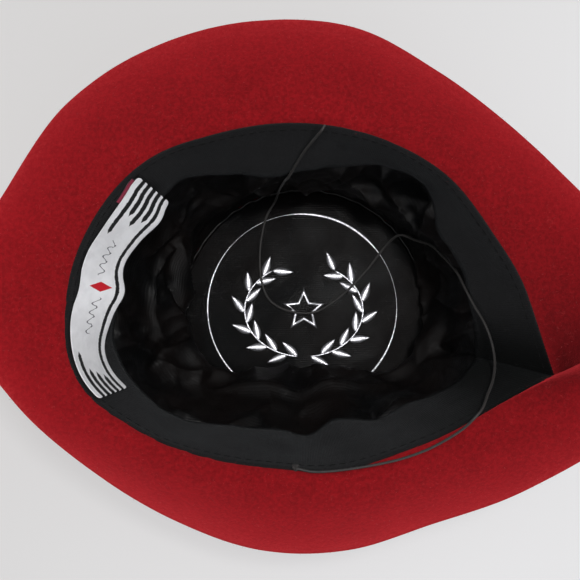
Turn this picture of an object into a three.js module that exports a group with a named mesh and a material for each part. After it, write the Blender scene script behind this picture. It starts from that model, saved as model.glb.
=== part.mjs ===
// A mini top hat of blocked wool felt, lying upside down on the flat tip of its crown.
// The opening faces up. +X is the front of the hat, where the brim is pinched, +Y its one side.
// The shapes are worked out round the crown's axis, and the hat is then centred on its own box.
// Lengths are in millimetres, and angles ("turn") in degrees round the axis from +X.

import * as THREE from 'three';
import * as BufferGeometryUtils from 'three/addons/utils/BufferGeometryUtils.js';

// ---------- driving dimensions ----------

const GAP = 0.3;

const FELT = {
  thickness: 2,
  tipLength: 60,       // half-length of the tip's inside, front to back
  tipWidth: 48,        // half-width of the tip's inside, side to side
  tipSquareness: 2.2,  // exponent of the tip's outline, 2 is a plain ellipse
  tipRound: 4,         // inside radius where the tip turns into the wall
  rollRound: 3,        // inside radius where the wall rolls over into the brim
  wallTaper: 0.3,      // share of the wall's flare that is even over its height
  wallFlare: 4,        // exponent of the rest, which opens near the brim
  brimCurl: 1.7,       // exponent of the brim's fall from the roll to its edge
  edgeRound: 0.7,      // how far the cut edge rounds out
  tipRings: [0, 0.5, 0.95],    // shares of the flat tip where the section has points
  wallRings: [0.3, 0.55, 0.8], // of the wall
  brimRings: [0.25, 0.5, 0.75, 1], // and of the brim
  arcSteps: 3,
};

// The hat round its axis: the opening's reach and height, the brim edge's reach and height,
// and how far the ribbon's loose edge stands in from the felt.
const SECTIONS = [
  { turn: 0,   opening: 62.9, lip: 77,   brim: 104.5, edge: 84, stand: 8 },
  { turn: 20,  opening: 57.8, lip: 76,   brim: 88.5,  edge: 75, stand: 8.5 },
  { turn: 40,  opening: 55.8, lip: 74,   brim: 82.6,  edge: 66, stand: 5 },
  { turn: 60,  opening: 53.4, lip: 72.5, brim: 82.5,  edge: 62, stand: 4 },
  { turn: 80,  opening: 52.4, lip: 72,   brim: 87,    edge: 61, stand: 5 },
  { turn: 100, opening: 53.3, lip: 72,   brim: 89,    edge: 61, stand: 7 },
  { turn: 120, opening: 56.4, lip: 73,   brim: 91.8,  edge: 63, stand: 5 },
  { turn: 140, opening: 63,   lip: 75,   brim: 94.5,  edge: 68, stand: 3 },
  { turn: 160, opening: 67.3, lip: 77,   brim: 95,    edge: 76, stand: 3 },
  { turn: 180, opening: 70.9, lip: 78,   brim: 101,   edge: 84, stand: 3 },
  { turn: 200, opening: 72.2, lip: 77,   brim: 91.5,  edge: 78, stand: 3 },
  { turn: 220, opening: 63.4, lip: 74,   brim: 83.4,  edge: 63, stand: 3.5 },
  { turn: 240, opening: 55.9, lip: 72.5, brim: 79.5,  edge: 55, stand: 6.5 },
  { turn: 260, opening: 51.9, lip: 72,   brim: 79,    edge: 53, stand: 7 },
  { turn: 280, opening: 52.8, lip: 72,   brim: 78.9,  edge: 53, stand: 8 },
  { turn: 300, opening: 53.9, lip: 72.5, brim: 80,    edge: 55, stand: 8 },
  { turn: 320, opening: 58.8, lip: 75,   brim: 89.5,  edge: 64, stand: 8.5 },
  { turn: 340, opening: 63.4, lip: 77.5, brim: 102,   edge: 80, stand: 6.5 },
];

// The pinch at the front: the opening runs out to a corner, and a crease runs on across the brim.
const PINCH = {
  turn: -17.8,
  reach: 14.5,        // how far the corner stands out of the plain opening
  spreadUp: 11.5,     // degrees over which the corner dies away towards +Y
  spreadDown: 9,      // and towards -Y
  skew: 12,           // degrees that the crease turns on its way to the brim's edge
  skewSpread: 28,
  ridge: 4,           // height of the felt's lap on the -Y side of the crease
  ridgeWidth: 18,
  valley: 10,         // depth of the felt's broad dip on the +Y side
  valleyWidth: 22,
  groove: 3.5,        // further depth of the narrow groove along the crease
  grooveWidth: 5,
  lapRound: 2.6,      // how soon the lap rises out of the groove
  atLip: 0.5,         // share of the height that is there at the opening
  atEdge: 0.45,       // and at the brim's edge
};

const BAND = {
  thickness: 1,
  width: 24,
  belowLip: 1.2,      // the ribbon's top edge lies this far under the brim's roll
  standPower: 1.3,    // how the stand grows down the ribbon
  waves: 5,
  waveHeight: 1.2,
  rings: [1, 0.75, 0.5, 0.25, 0],  // shares of its width where the section has points
};

const LINING = {
  thickness: 1,
  tipRadius: 43,
  tipHeight: 3.8,     // height of the tip lining's upper face at the seam
  tipRise: 0.8,       // how much it rises in the middle
  tipRings: [0, 0.4, 0.75, 1],
  tipSides: 48,
  seamGap: 0.4,
  footSpread: 0.2,    // the side lining's foot stands this much further out than its ankle
  ankleHeight: 3,     // and its ankle this far over the tip lining
  belowRibbon: 3,     // it passes under the ribbon's loose edge at this distance
  topDepth: 20,       // and ends this far down behind the ribbon
  steps: 8,
};

// Where the side lining bends on its way up, as shares of the way out and of the way up.
const BENDS = {
  toNose: { out: 0.5, up: 0.35 },
  toRibbon: { out: 0.6, up: 0.3 },
};

// The side lining's nose, its innermost line: its reach and its height.
const FOLDS = [
  { turn: 0,   reach: 47, height: 20 },
  { turn: 30,  reach: 45, height: 22 },
  { turn: 60,  reach: 43, height: 26 },
  { turn: 90,  reach: 42, height: 24 },
  { turn: 120, reach: 44, height: 22 },
  { turn: 150, reach: 46, height: 22 },
  { turn: 180, reach: 41, height: 24 },
  { turn: 210, reach: 39, height: 17 },
  { turn: 240, reach: 23.5, height: 14 },
  { turn: 270, reach: 20.5, height: 14 },
  { turn: 300, reach: 23.5, height: 14 },
  { turn: 330, reach: 39, height: 16 },
];

const LABEL = {
  thickness: 0.6,
  width: 16,
  stand: 1,           // clear of the ribbon along its upper edge
  steps: 28,
};

// The label's waves: how deep its upper edge lies, and how far it tilts off the upright.
const LABEL_WAVES = [
  { turn: 146, depth: 0.8, tilt: 38 },
  { turn: 152, depth: 3,   tilt: 50 },
  { turn: 161, depth: 6,   tilt: 34 },
  { turn: 170, depth: 5.5, tilt: 31 },
  { turn: 179, depth: 3.5, tilt: 50 },
  { turn: 187, depth: 0.8, tilt: 41 },
  { turn: 196, depth: 0.5, tilt: 31 },
  { turn: 206, depth: 0.5, tilt: 28 },
];

const CORD = {
  radius: 0.45,
  sides: 8,
  steps: 80,
};

// The elastic's way: out of the one side seam, down the wall, over the tip, up past the front
// and over the rim, then back along the brim to the other side seam. Each row is x, y, z.
const CORD_WAY = [
  [5.8, 52.2, 72.6],
  [4.7, 50.5, 72.1],
  [3.4, 49.3, 69.8],
  [1.9, 48.3, 65.8],
  [-0.7, 46.1, 59.3],
  [-3.2, 43.1, 53],
  [-5.4, 40.3, 47.5],
  [-6.6, 40.4, 40],
  [-7.6, 40.6, 30],
  [-8.4, 40.8, 20],
  [-9, 40.8, 12],
  [-10.2, 38.7, 6.1],
  [-13.1, 33.7, 4.9],
  [-14.9, 26.5, 5],
  [-15.6, 19.3, 5.2],
  [-14.9, 10, 5.3],
  [-12.4, 3.9, 5.4],
  [-8, 0.6, 5.4],
  [-1.7, -1, 5.4],
  [4, -0.7, 5.4],
  [10, 2.5, 5.4],
  [16, 7.5, 5.4],
  [22.5, 14.3, 5.3],
  [28, 21.5, 5.3],
  [31.4, 25, 7.5],
  [33.8, 25.6, 14],
  [37.8, 22.8, 23],
  [42.6, 20, 30.5],
  [45.7, 15.4, 38],
  [48.8, 10, 45.5],
  [50.6, 4.5, 50.8],
  [53.1, -1.6, 54.2],
  [56, -7.5, 57],
  [57.8, -13.4, 59],
  [58.3, -19.5, 61.5],
  [56.9, -25.1, 66.2],
  [54.1, -29.6, 73.4],
  [51.8, -33.8, 77.4],
  [49.3, -36.6, 78],
  [46.4, -39.5, 76.7],
  [41.7, -42.7, 75.7],
  [35.4, -46, 74.7],
  [27.2, -48.9, 73.4],
  [17.2, -51, 72.4],
  [7.9, -52.3, 71.8],
  [1.7, -52.5, 71.7],
  [-2.8, -51.6, 71.5],
];

const TURN_STEPS = 66;
const CREASE_TURNS = [-2.4, -1.2, 1.2, 2.4];  // more sections close beside the crease

const COLOURS = {
  felt: 0x98141d,
  ribbon: 0x1f2122,
  satin: 0x0c0d0f,
  label: 0xe9e8e4,
  elastic: 0x2b2a29,
};

// ---------- the hat's form, as functions of the turn ----------

const rad = THREE.MathUtils.degToRad;

function dir(turn) {
  return new THREE.Vector2(Math.cos(rad(turn)), Math.sin(rad(turn)));
}

// The signed angle from the crease, between -180 and 180.
function fromCrease(turn) {
  return THREE.MathUtils.euclideanModulo(turn - PINCH.turn + 180, 360) - 180;
}

// A smooth closed curve through one column of a table whose rows are evenly spaced turns.
function around(table, column, turn) {
  const place = THREE.MathUtils.euclideanModulo(turn, 360) / 360 * table.length;
  const row = Math.floor(place);
  const f = place - row;
  const [a, b, c, d] = [-1, 0, 1, 2].map((k) => table[(row + k + table.length) % table.length][column]);
  return b + 0.5 * f * (c - a + f * (2 * a - 5 * b + 4 * c - d + f * (3 * (b - c) + d - a)));
}

function cornerReach(turn) {
  const off = fromCrease(turn);
  const spread = off > 0 ? PINCH.spreadUp : PINCH.spreadDown;
  return PINCH.reach * Math.exp(-Math.abs(off) / spread);
}

function openingReach(turn) {
  return around(SECTIONS, 'opening', turn) + cornerReach(turn);
}

// The felt's lap and dip beside the crease, at a reach from the axis.
function creaseStep(turn, reach) {
  const { ridge, ridgeWidth, valley, valleyWidth, groove, grooveWidth, lapRound } = PINCH;
  const side = rad(fromCrease(turn)) * reach;
  if (side > 0) {
    return -valley * Math.exp(-side / valleyWidth) - groove * Math.exp(-side / grooveWidth);
  }
  const floor = valley + groove + ridge;
  return ridge * Math.exp(side / ridgeWidth) - floor * Math.exp(side / lapRound);
}

function lipHeight(turn) {
  return around(SECTIONS, 'lip', turn) + PINCH.atLip * creaseStep(turn, openingReach(turn));
}

function tipReach(turn) {
  const { tipLength, tipWidth, tipSquareness: n } = FELT;
  const along = dir(turn);
  return (Math.abs(along.x / tipLength) ** n + Math.abs(along.y / tipWidth) ** n) ** (-1 / n);
}

// Reach of the felt wall's inside at a height.
function wallReach(turn, height) {
  const low = FELT.thickness + FELT.tipRound;
  const share = THREE.MathUtils.clamp((height - low) / (lipHeight(turn) - FELT.rollRound - low), 0, 1);
  const flare = FELT.wallTaper * share + (1 - FELT.wallTaper) * share ** FELT.wallFlare;
  return THREE.MathUtils.lerp(tipReach(turn), openingReach(turn), flare);
}

// The brim's run from the opening to its edge, which turns with the crease.
function brimRun(turn) {
  const start = dir(turn).multiplyScalar(openingReach(turn));
  const outTurn = turn + PINCH.skew * Math.exp(-((fromCrease(turn) / PINCH.skewSpread) ** 2));
  const reach = around(SECTIONS, 'brim', outTurn);
  const run = dir(outTurn).multiplyScalar(reach).sub(start);
  const length = run.length();
  const edge = around(SECTIONS, 'edge', outTurn) + PINCH.atEdge * creaseStep(turn, reach);
  return { start, length, heading: run.normalize(), edge };
}

// A point of the section at a turn: how far out along it, and how high.
function placed(turn, out, height) {
  const reach = openingReach(turn);
  if (out <= reach) {
    const p = dir(turn).multiplyScalar(out);
    return new THREE.Vector3(p.x, p.y, height);
  }
  const { start, heading } = brimRun(turn);
  const p = start.clone().addScaledVector(heading, out - reach);
  return new THREE.Vector3(p.x, p.y, height);
}

// ---------- meshes ----------

// The other side of a wall: its section's points moved off by the thickness, away from the hollow.
function backOf(path, thickness) {
  return path.map((p, k) => {
    const before = path[Math.max(k - 1, 0)];
    const after = path[Math.min(k + 1, path.length - 1)];
    const along = after.clone().sub(before).normalize();
    return new THREE.Vector2(p.x + along.y * thickness, p.y - along.x * thickness);
  });
}

// A closed mesh through rings of points. The rings go round the hat, or end in flat caps.
function loft(rings, { ringsClose, pointsClose }) {
  const count = rings[0].length;
  const at = (ring, k) => (ring % rings.length) * count + (k % count);
  const faces = [];
  const ringSteps = ringsClose ? rings.length : rings.length - 1;
  const pointSteps = pointsClose ? count : count - 1;
  for (let i = 0; i < ringSteps; i += 1) {
    for (let k = 0; k < pointSteps; k += 1) {
      faces.push([at(i, k), at(i, k + 1), at(i + 1, k + 1)]);
      faces.push([at(i, k), at(i + 1, k + 1), at(i + 1, k)]);
    }
  }
  if (!ringsClose) {
    for (let k = 1; k < count - 1; k += 1) {
      faces.push([at(0, 0), at(0, k + 1), at(0, k)]);
      faces.push([at(ringSteps, 0), at(ringSteps, k), at(ringSteps, k + 1)]);
    }
  }
  const points = rings.flat();
  const whole = faces.filter(([a, b, c]) => ![[a, b], [b, c], [c, a]].some(
    ([p, q]) => points[p].distanceTo(points[q]) < 1e-6));
  const geometry = new THREE.BufferGeometry().setFromPoints(points);
  geometry.setIndex(whole.flat());
  const merged = BufferGeometryUtils.mergeVertices(geometry);
  merged.computeVertexNormals();
  return merged;
}

function shares(steps) {
  return Array.from({ length: steps + 1 }, (_, k) => k / steps);
}

// The turns of the sections, from the crease and back to it.
const TURNS = [...shares(TURN_STEPS).slice(0, -1).map((share) => share * 360), ...CREASE_TURNS]
  .sort((a, b) => a - b)
  .map((off) => PINCH.turn + off);

// ---------- the pieces ----------

function feltPath(turn) {
  const { thickness, tipRound, rollRound, brimCurl } = FELT;
  const tip = tipReach(turn) - tipRound;
  const low = thickness + tipRound;
  const high = lipHeight(turn) - rollRound;
  const reach = openingReach(turn);
  const { length, edge } = brimRun(turn);
  const path = FELT.tipRings.map((share) => new THREE.Vector2(tip * share, thickness));
  for (const share of shares(FELT.arcSteps)) {
    const a = share * Math.PI / 2;
    path.push(new THREE.Vector2(tip + tipRound * Math.sin(a), low - tipRound * Math.cos(a)));
  }
  for (const share of FELT.wallRings) {
    const height = THREE.MathUtils.lerp(low, high, share);
    path.push(new THREE.Vector2(wallReach(turn, height), height));
  }
  for (const share of shares(FELT.arcSteps)) {
    const a = share * Math.PI / 2;
    path.push(new THREE.Vector2(reach + rollRound * (1 - Math.cos(a)), high + rollRound * Math.sin(a)));
  }
  for (const share of FELT.brimRings) {
    const out = THREE.MathUtils.lerp(rollRound, length, share);
    const fall = THREE.MathUtils.lerp(lipHeight(turn), edge, share ** brimCurl);
    const swell = Math.sin(Math.PI * share) ** 2 * (1 - PINCH.atLip) * creaseStep(turn, reach + out);
    path.push(new THREE.Vector2(reach + out, fall + swell));
  }
  return path;
}

function feltBody() {
  const rings = TURNS.map((turn) => {
    const inside = feltPath(turn);
    const outside = backOf(inside, FELT.thickness);
    const rim = inside.at(-1).clone().add(outside.at(-1)).multiplyScalar(0.5);
    rim.x += FELT.edgeRound;
    return [...inside, rim, ...outside.reverse()].map((p) => placed(turn, p.x, p.y));
  });
  return loft(rings, { ringsClose: true, pointsClose: false });
}

// A point of the ribbon's inner face, at a depth from its top edge.
function bandPoint(turn, depth) {
  const { thickness, belowLip, width, standPower, waves, waveHeight } = BAND;
  const share = depth / width;
  const wave = waveHeight * Math.sin(rad(waves * turn)) * share;
  const height = lipHeight(turn) - belowLip - depth + wave;
  const off = GAP + thickness + around(SECTIONS, 'stand', turn) * share ** standPower;
  return new THREE.Vector2(wallReach(turn, height) - off, height);
}

function sweatband() {
  const rings = TURNS.map((turn) => {
    const inside = BAND.rings.map((share) => bandPoint(turn, share * BAND.width));
    const outside = inside.map((p) => new THREE.Vector2(p.x + BAND.thickness, p.y));
    return [...inside, ...outside.reverse()].map((p) => placed(turn, p.x, p.y));
  });
  return loft(rings, { ringsClose: true, pointsClose: true });
}

// A point between two, by its shares of the way out and of the way up.
function bend(from, to, { out, up }) {
  return new THREE.Vector2(THREE.MathUtils.lerp(from.x, to.x, out), THREE.MathUtils.lerp(from.y, to.y, up));
}

function liningPath(turn) {
  const { tipRadius, tipHeight, seamGap, footSpread, ankleHeight, belowRibbon, topDepth } = LINING;
  const ankle = new THREE.Vector2(tipRadius + seamGap, tipHeight + ankleHeight);
  const foot = new THREE.Vector2(ankle.x + footSpread, tipHeight);
  const nose = new THREE.Vector2(around(FOLDS, 'reach', turn), around(FOLDS, 'height', turn));
  const under = bandPoint(turn, BAND.width);
  under.x += BAND.thickness;
  under.y -= belowRibbon;
  const top = bandPoint(turn, topDepth);
  top.x = (top.x + BAND.thickness + wallReach(turn, top.y) - LINING.thickness) / 2;
  const bends = [bend(ankle, nose, BENDS.toNose), nose, bend(nose, under, BENDS.toRibbon)];
  return new THREE.SplineCurve([foot, ankle, ...bends, under, top]).getPoints(LINING.steps);
}

function sideLining() {
  const rings = TURNS.map((turn) => {
    const inside = liningPath(turn);
    const outside = backOf(inside, LINING.thickness);
    return [...inside, ...outside.reverse()].map((p) => placed(turn, p.x, p.y));
  });
  return loft(rings, { ringsClose: true, pointsClose: true });
}

function tipLining() {
  const { tipRadius, tipHeight, tipRise, tipRings, tipSides, thickness } = LINING;
  const inside = tipRings.map((share) => new THREE.Vector2(
    tipRadius * share, tipHeight + tipRise * (1 - share ** 2)));
  const outside = inside.map((p) => new THREE.Vector2(p.x, p.y - thickness)).reverse();
  const rings = shares(tipSides).slice(0, -1).map((share) => {
    const along = dir(360 * share);
    return [...inside, ...outside].map((p) => new THREE.Vector3(along.x * p.x, along.y * p.x, p.y));
  });
  return loft(rings, { ringsClose: true, pointsClose: false });
}

function label() {
  const { thickness, width, stand, steps } = LABEL;
  const waves = new THREE.CatmullRomCurve3(
    LABEL_WAVES.map(({ turn, depth, tilt }) => new THREE.Vector3(turn, depth, tilt)));
  const rings = shares(steps).map((share) => {
    const { x: turn, y: depth, z: tilt } = waves.getPoint(share);
    const upper = bandPoint(turn, depth);
    upper.x -= stand + thickness;
    const inward = new THREE.Vector2(-Math.sin(rad(tilt)), -Math.cos(rad(tilt)));
    const outward = new THREE.Vector2(-inward.y, inward.x);
    const face = shares(2).reverse().map((across) => upper.clone().addScaledVector(inward, width * across));
    const back = face.map((p) => p.clone().addScaledVector(outward, thickness)).reverse();
    return [...face, ...back].map((p) => placed(turn, p.x, p.y));
  });
  return loft(rings, { ringsClose: false, pointsClose: true });
}

function elasticCord() {
  const { radius, sides, steps } = CORD;
  const stops = CORD_WAY.map((p) => new THREE.Vector3(...p));
  const way = new THREE.CatmullRomCurve3(stops, false, 'centripetal');
  const corners = shares(sides).slice(0, -1).map((share) => dir(360 * share).multiplyScalar(radius));
  const section = new THREE.Shape(corners);
  const tube = new THREE.ExtrudeGeometry(section, { extrudePath: way, steps });
  tube.deleteAttribute('normal');
  tube.deleteAttribute('uv');
  return BufferGeometryUtils.mergeVertices(tube);
}

// ---------- the hat ----------

const hat = new THREE.Group();

function add(name, geometry, colour, roughness) {
  const material = new THREE.MeshStandardMaterial({ color: colour, roughness, metalness: 0 });
  const mesh = new THREE.Mesh(geometry, material);
  mesh.name = name;
  hat.add(mesh);
}

add('felt_body', feltBody(), COLOURS.felt, 0.95);
add('sweatband', sweatband(), COLOURS.ribbon, 0.8);
add('side_lining', sideLining(), COLOURS.satin, 0.4);
add('tip_lining', tipLining(), COLOURS.satin, 0.4);
add('label', label(), COLOURS.label, 0.7);

// The origin is under the middle of the hat's box, which the loose cord isn't part of.
const box = new THREE.Box3().setFromObject(hat);
hat.position.set(-(box.min.x + box.max.x) / 2, -(box.min.y + box.max.y) / 2, 0);
add('elastic_cord', elasticCord(), COLOURS.elastic, 0.7);

export default hat;
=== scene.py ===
"""The looks of a mini top hat of red wool felt, lying upside down on the tip of its crown.

The hat's forms are functions of the turn, in degrees round the crown's axis from +X, and of the
way along a section of the hat at that turn. They are worked out in millimetres round the axis.
Every mesh is then made in metres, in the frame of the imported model.
"""

import logging
import math
from dataclasses import dataclass, field
from enum import Enum
from typing import NamedTuple

import bmesh
import bpy
import numpy as np
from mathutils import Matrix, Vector
from mathutils.kdtree import KDTree

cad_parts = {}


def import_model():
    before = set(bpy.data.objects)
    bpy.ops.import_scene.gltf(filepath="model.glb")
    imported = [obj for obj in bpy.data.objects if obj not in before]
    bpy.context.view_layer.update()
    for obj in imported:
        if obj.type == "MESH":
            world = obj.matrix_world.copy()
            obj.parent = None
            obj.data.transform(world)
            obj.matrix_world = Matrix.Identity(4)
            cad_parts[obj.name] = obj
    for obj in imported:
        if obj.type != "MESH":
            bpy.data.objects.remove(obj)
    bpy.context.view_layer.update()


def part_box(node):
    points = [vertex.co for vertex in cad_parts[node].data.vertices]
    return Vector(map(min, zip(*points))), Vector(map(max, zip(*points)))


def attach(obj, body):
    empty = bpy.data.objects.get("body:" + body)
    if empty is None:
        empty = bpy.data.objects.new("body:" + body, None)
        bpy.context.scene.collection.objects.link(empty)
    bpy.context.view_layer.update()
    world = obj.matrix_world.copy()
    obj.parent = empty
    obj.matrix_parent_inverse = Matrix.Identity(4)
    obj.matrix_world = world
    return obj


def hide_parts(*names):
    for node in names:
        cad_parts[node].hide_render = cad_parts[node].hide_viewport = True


log = logging.getLogger("mini_top_hat")

MM = 0.001
BODY = "root"
Array = np.ndarray
Colour = tuple[float, float, float, float]
Piece = bpy.types.Object
Material = bpy.types.Material
Node = bpy.types.Node
Socket = bpy.types.NodeSocket


# ---------- curves and surfaces in plain numbers ----------


class Knots(Enum):
    """How the knots of a smooth curve are spaced: the power of the distance between its stops."""

    UNIFORM = 0.0
    CENTRIPETAL = 0.5


def lerp(start: Array, end: Array, share: Array) -> Array:
    """The value at a share of the way from start to end."""
    return start + (end - start) * share


def smooth_step(value: Array, low: float, high: float) -> Array:
    """A soft step from 0 at low to 1 at high; low may be the larger."""
    share = np.clip((value - low) / (high - low), 0, 1)
    return share * share * (3 - 2 * share)


def toward(turn: Array) -> Array:
    """The unit vector in plan at a turn in degrees, with x and y in the last axis."""
    return np.stack([np.cos(np.radians(turn)), np.sin(np.radians(turn))], axis=-1)


def even_turns(count: int) -> Array:
    """Evenly spaced turns in degrees, once round."""
    return np.linspace(0, 360, count, endpoint=False)


def turn_from(start: float, turn: Array) -> Array:
    """The signed angle from a start to a turn, between -180 and 180 degrees."""
    return np.mod(turn - start + 180, 360) - 180


def around(rows: tuple, column: str, turn: Array) -> Array:
    """Reads a smooth closed curve through one column of a table of evenly spaced turns.

    Args:
        rows: The table, whose first row is at turn 0.
        column: The name of the column.
        turn: The turns to read it at, in degrees.

    Returns:
        The column's value at each turn.
    """
    values = np.array([getattr(row, column) for row in rows], float)
    place = np.mod(turn, 360) / 360 * len(values)
    row = np.floor(place).astype(int)
    f = place - row
    a, b, c, d = (values[(row + k) % len(values)] for k in (-1, 0, 1, 2))
    return b + 0.5 * f * (c - a + f * (2 * a - 5 * b + 4 * c - d + f * (3 * (b - c) + d - a)))


def smooth_way(stops: Array, shares: Array, knots: Knots) -> Array:
    """Points on a smooth curve through stops.

    Args:
        stops: The points that the curve runs through, along the first axis.
        shares: Shares of the way, from 0 to 1, with each stretch between two stops alike.
        knots: How the knots are spaced.

    Returns:
        The points, with one row for each share.
    """
    stops = np.asarray(stops, float)
    p = np.concatenate([2 * stops[:1] - stops[1:2], stops, 2 * stops[-1:] - stops[-2:-1]])
    place = np.clip(shares, 0, 1) * (len(stops) - 1)
    row = np.minimum(np.floor(place).astype(int), len(stops) - 2)
    f = (place - row).reshape((-1,) + (1,) * (stops.ndim - 1))
    p0, p1, p2, p3 = (p[row + k] for k in range(4))

    def gap(a: Array, b: Array) -> Array:
        """The knots' distance between two points."""
        return np.maximum(np.linalg.norm(b - a, axis=-1, keepdims=True), 1e-6) ** knots.value

    d0, d1, d2 = gap(p0, p1), gap(p1, p2), gap(p2, p3)
    leave = ((p1 - p0) / d0 - (p2 - p0) / (d0 + d1) + (p2 - p1) / d1) * d1
    arrive = ((p2 - p1) / d1 - (p3 - p1) / (d1 + d2) + (p3 - p2) / d2) * d1
    return p1 + f * (leave + f * (3 * (p2 - p1) - 2 * leave - arrive
                                  + f * (2 * (p1 - p2) + leave + arrive)))


def ripples(points: Array, wavelength: float, seed: int, count: int = 9) -> Array:
    """A smooth unevenness without direction, from -1 to 1 at most places.

    Args:
        points: Places, with their coordinates in the last axis.
        wavelength: The usual distance from crest to crest, in the points' unit.
        seed: Picks the waves.
        count: How many plain waves are summed.

    Returns:
        One number for each place.
    """
    draw = np.random.default_rng(seed)
    ways = draw.normal(size=(count, points.shape[-1]))
    ways *= draw.uniform(0.7, 1.4, (count, 1)) / np.linalg.norm(ways, axis=1, keepdims=True)
    phases = draw.uniform(0, math.tau, count)
    waves = np.sin(points @ ways.T * (math.tau / wavelength) + phases)
    return waves.sum(axis=-1) / math.sqrt(count)


def bump_at(value: Array, centre: float, width: float) -> Array:
    """A smooth hump of height 1 over a centre."""
    return np.exp(-(((value - centre) / width) ** 2))


def room_to(line: Array, points: Array) -> Array:
    """The distance from each point to the nearest point of a line."""
    tree = KDTree(len(line))
    for number, place in enumerate(line):
        tree.insert(place, number)
    tree.balance()
    return np.array([tree.find(p)[2] for p in points.reshape(-1, 3)]).reshape(points.shape[:-1])


def lengths_along(way: Array) -> Array:
    """How far each point of a way lies from the first, along the way."""
    return np.concatenate([[0], np.cumsum(np.linalg.norm(np.diff(way, axis=0), axis=1))])


def creases(points: Array, wavelength: float, seed: int) -> Array:
    """Narrow ridges of height 1 with soft hollows between them, like those of crumpled cloth."""
    return 1 - 2.2 * np.abs(ripples(points, wavelength, seed))


def back_of(path: Array, thickness: float) -> Array:
    """The other side of a wall: its section's points moved off, away from the hollow.

    Args:
        path: Points (out, height) along the first axis.
        thickness: The wall's thickness.

    Returns:
        The moved points.
    """
    before = np.concatenate([path[:1], path[:-1]])
    after = np.concatenate([path[1:], path[-1:]])
    along = after - before
    along /= np.maximum(np.linalg.norm(along, axis=-1, keepdims=True), 1e-9)
    return path + thickness * np.stack([along[..., 1], -along[..., 0]], axis=-1)


# ---------- the hat's form ----------


class Section(NamedTuple):
    """The hat at one turn: the opening's reach and height, and the brim edge's."""

    turn: float
    opening: float
    lip: float
    brim: float
    edge: float


SECTIONS = (
    Section(0, 62.9, 77, 104.5, 84),
    Section(20, 57.8, 76, 88.5, 75),
    Section(40, 55.8, 74, 82.6, 66),
    Section(60, 53.4, 72.5, 82.5, 62),
    Section(80, 52.4, 72, 87, 61),
    Section(100, 53.3, 72, 89, 61),
    Section(120, 56.4, 73, 91.8, 63),
    Section(140, 63, 75, 94.5, 68),
    Section(160, 67.3, 77, 95, 76),
    Section(180, 70.9, 78, 101, 84),
    Section(200, 72.2, 77, 91.5, 78),
    Section(220, 63.4, 74, 83.4, 63),
    Section(240, 55.9, 72.5, 79.5, 55),
    Section(260, 51.9, 72, 79, 53),
    Section(280, 52.8, 72, 78.9, 53),
    Section(300, 53.9, 72.5, 80, 55),
    Section(320, 58.8, 75, 89.5, 64),
    Section(340, 63.4, 77.5, 102, 80),
)


class Hem(NamedTuple):
    """The ribbon's loose edge at one turn: how far it stands off the wall, and how deep it is."""

    turn: float
    stand: float
    depth: float


HEMS = (
    Hem(0, 8.1, 24),
    Hem(15, 8.9, 24),
    Hem(30, 8.2, 24),
    Hem(45, 0.8, 20.5),
    Hem(60, 0.4, 20),
    Hem(75, 3.8, 24),
    Hem(90, 5.6, 24),
    Hem(105, 7.4, 24),
    Hem(120, 4.3, 24),
    Hem(135, 0.6, 22),
    Hem(150, 2.8, 24),
    Hem(165, 3, 24),
    Hem(180, 2.6, 24),
    Hem(195, 1, 24),
    Hem(210, 1, 24),
    Hem(225, 2.4, 24),
    Hem(240, 6.4, 24),
    Hem(255, 6.8, 24),
    Hem(270, 5.2, 24.5),
    Hem(285, 10.4, 24),
    Hem(300, 7.5, 24),
    Hem(315, 9, 24),
    Hem(330, 5.8, 24),
    Hem(345, 7.1, 24),
)


@dataclass(frozen=True)
class Pinch:
    """The pinch at the front: the opening's corner, and the crease that runs on over the brim."""

    turn: float = -17.8
    reach: float = 14.5
    spread_up: float = 11.5
    spread_down: float = 9
    skew: float = 12
    skew_spread: float = 28
    ridge: float = 4
    ridge_width: float = 18
    valley: float = 10
    valley_width: float = 22
    groove: float = 3.5
    groove_width: float = 5
    lap_round: float = 3.4
    shade_up: float = 22
    shade_down: float = 10
    at_lip: float = 0.5
    at_edge: float = 0.45


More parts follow.
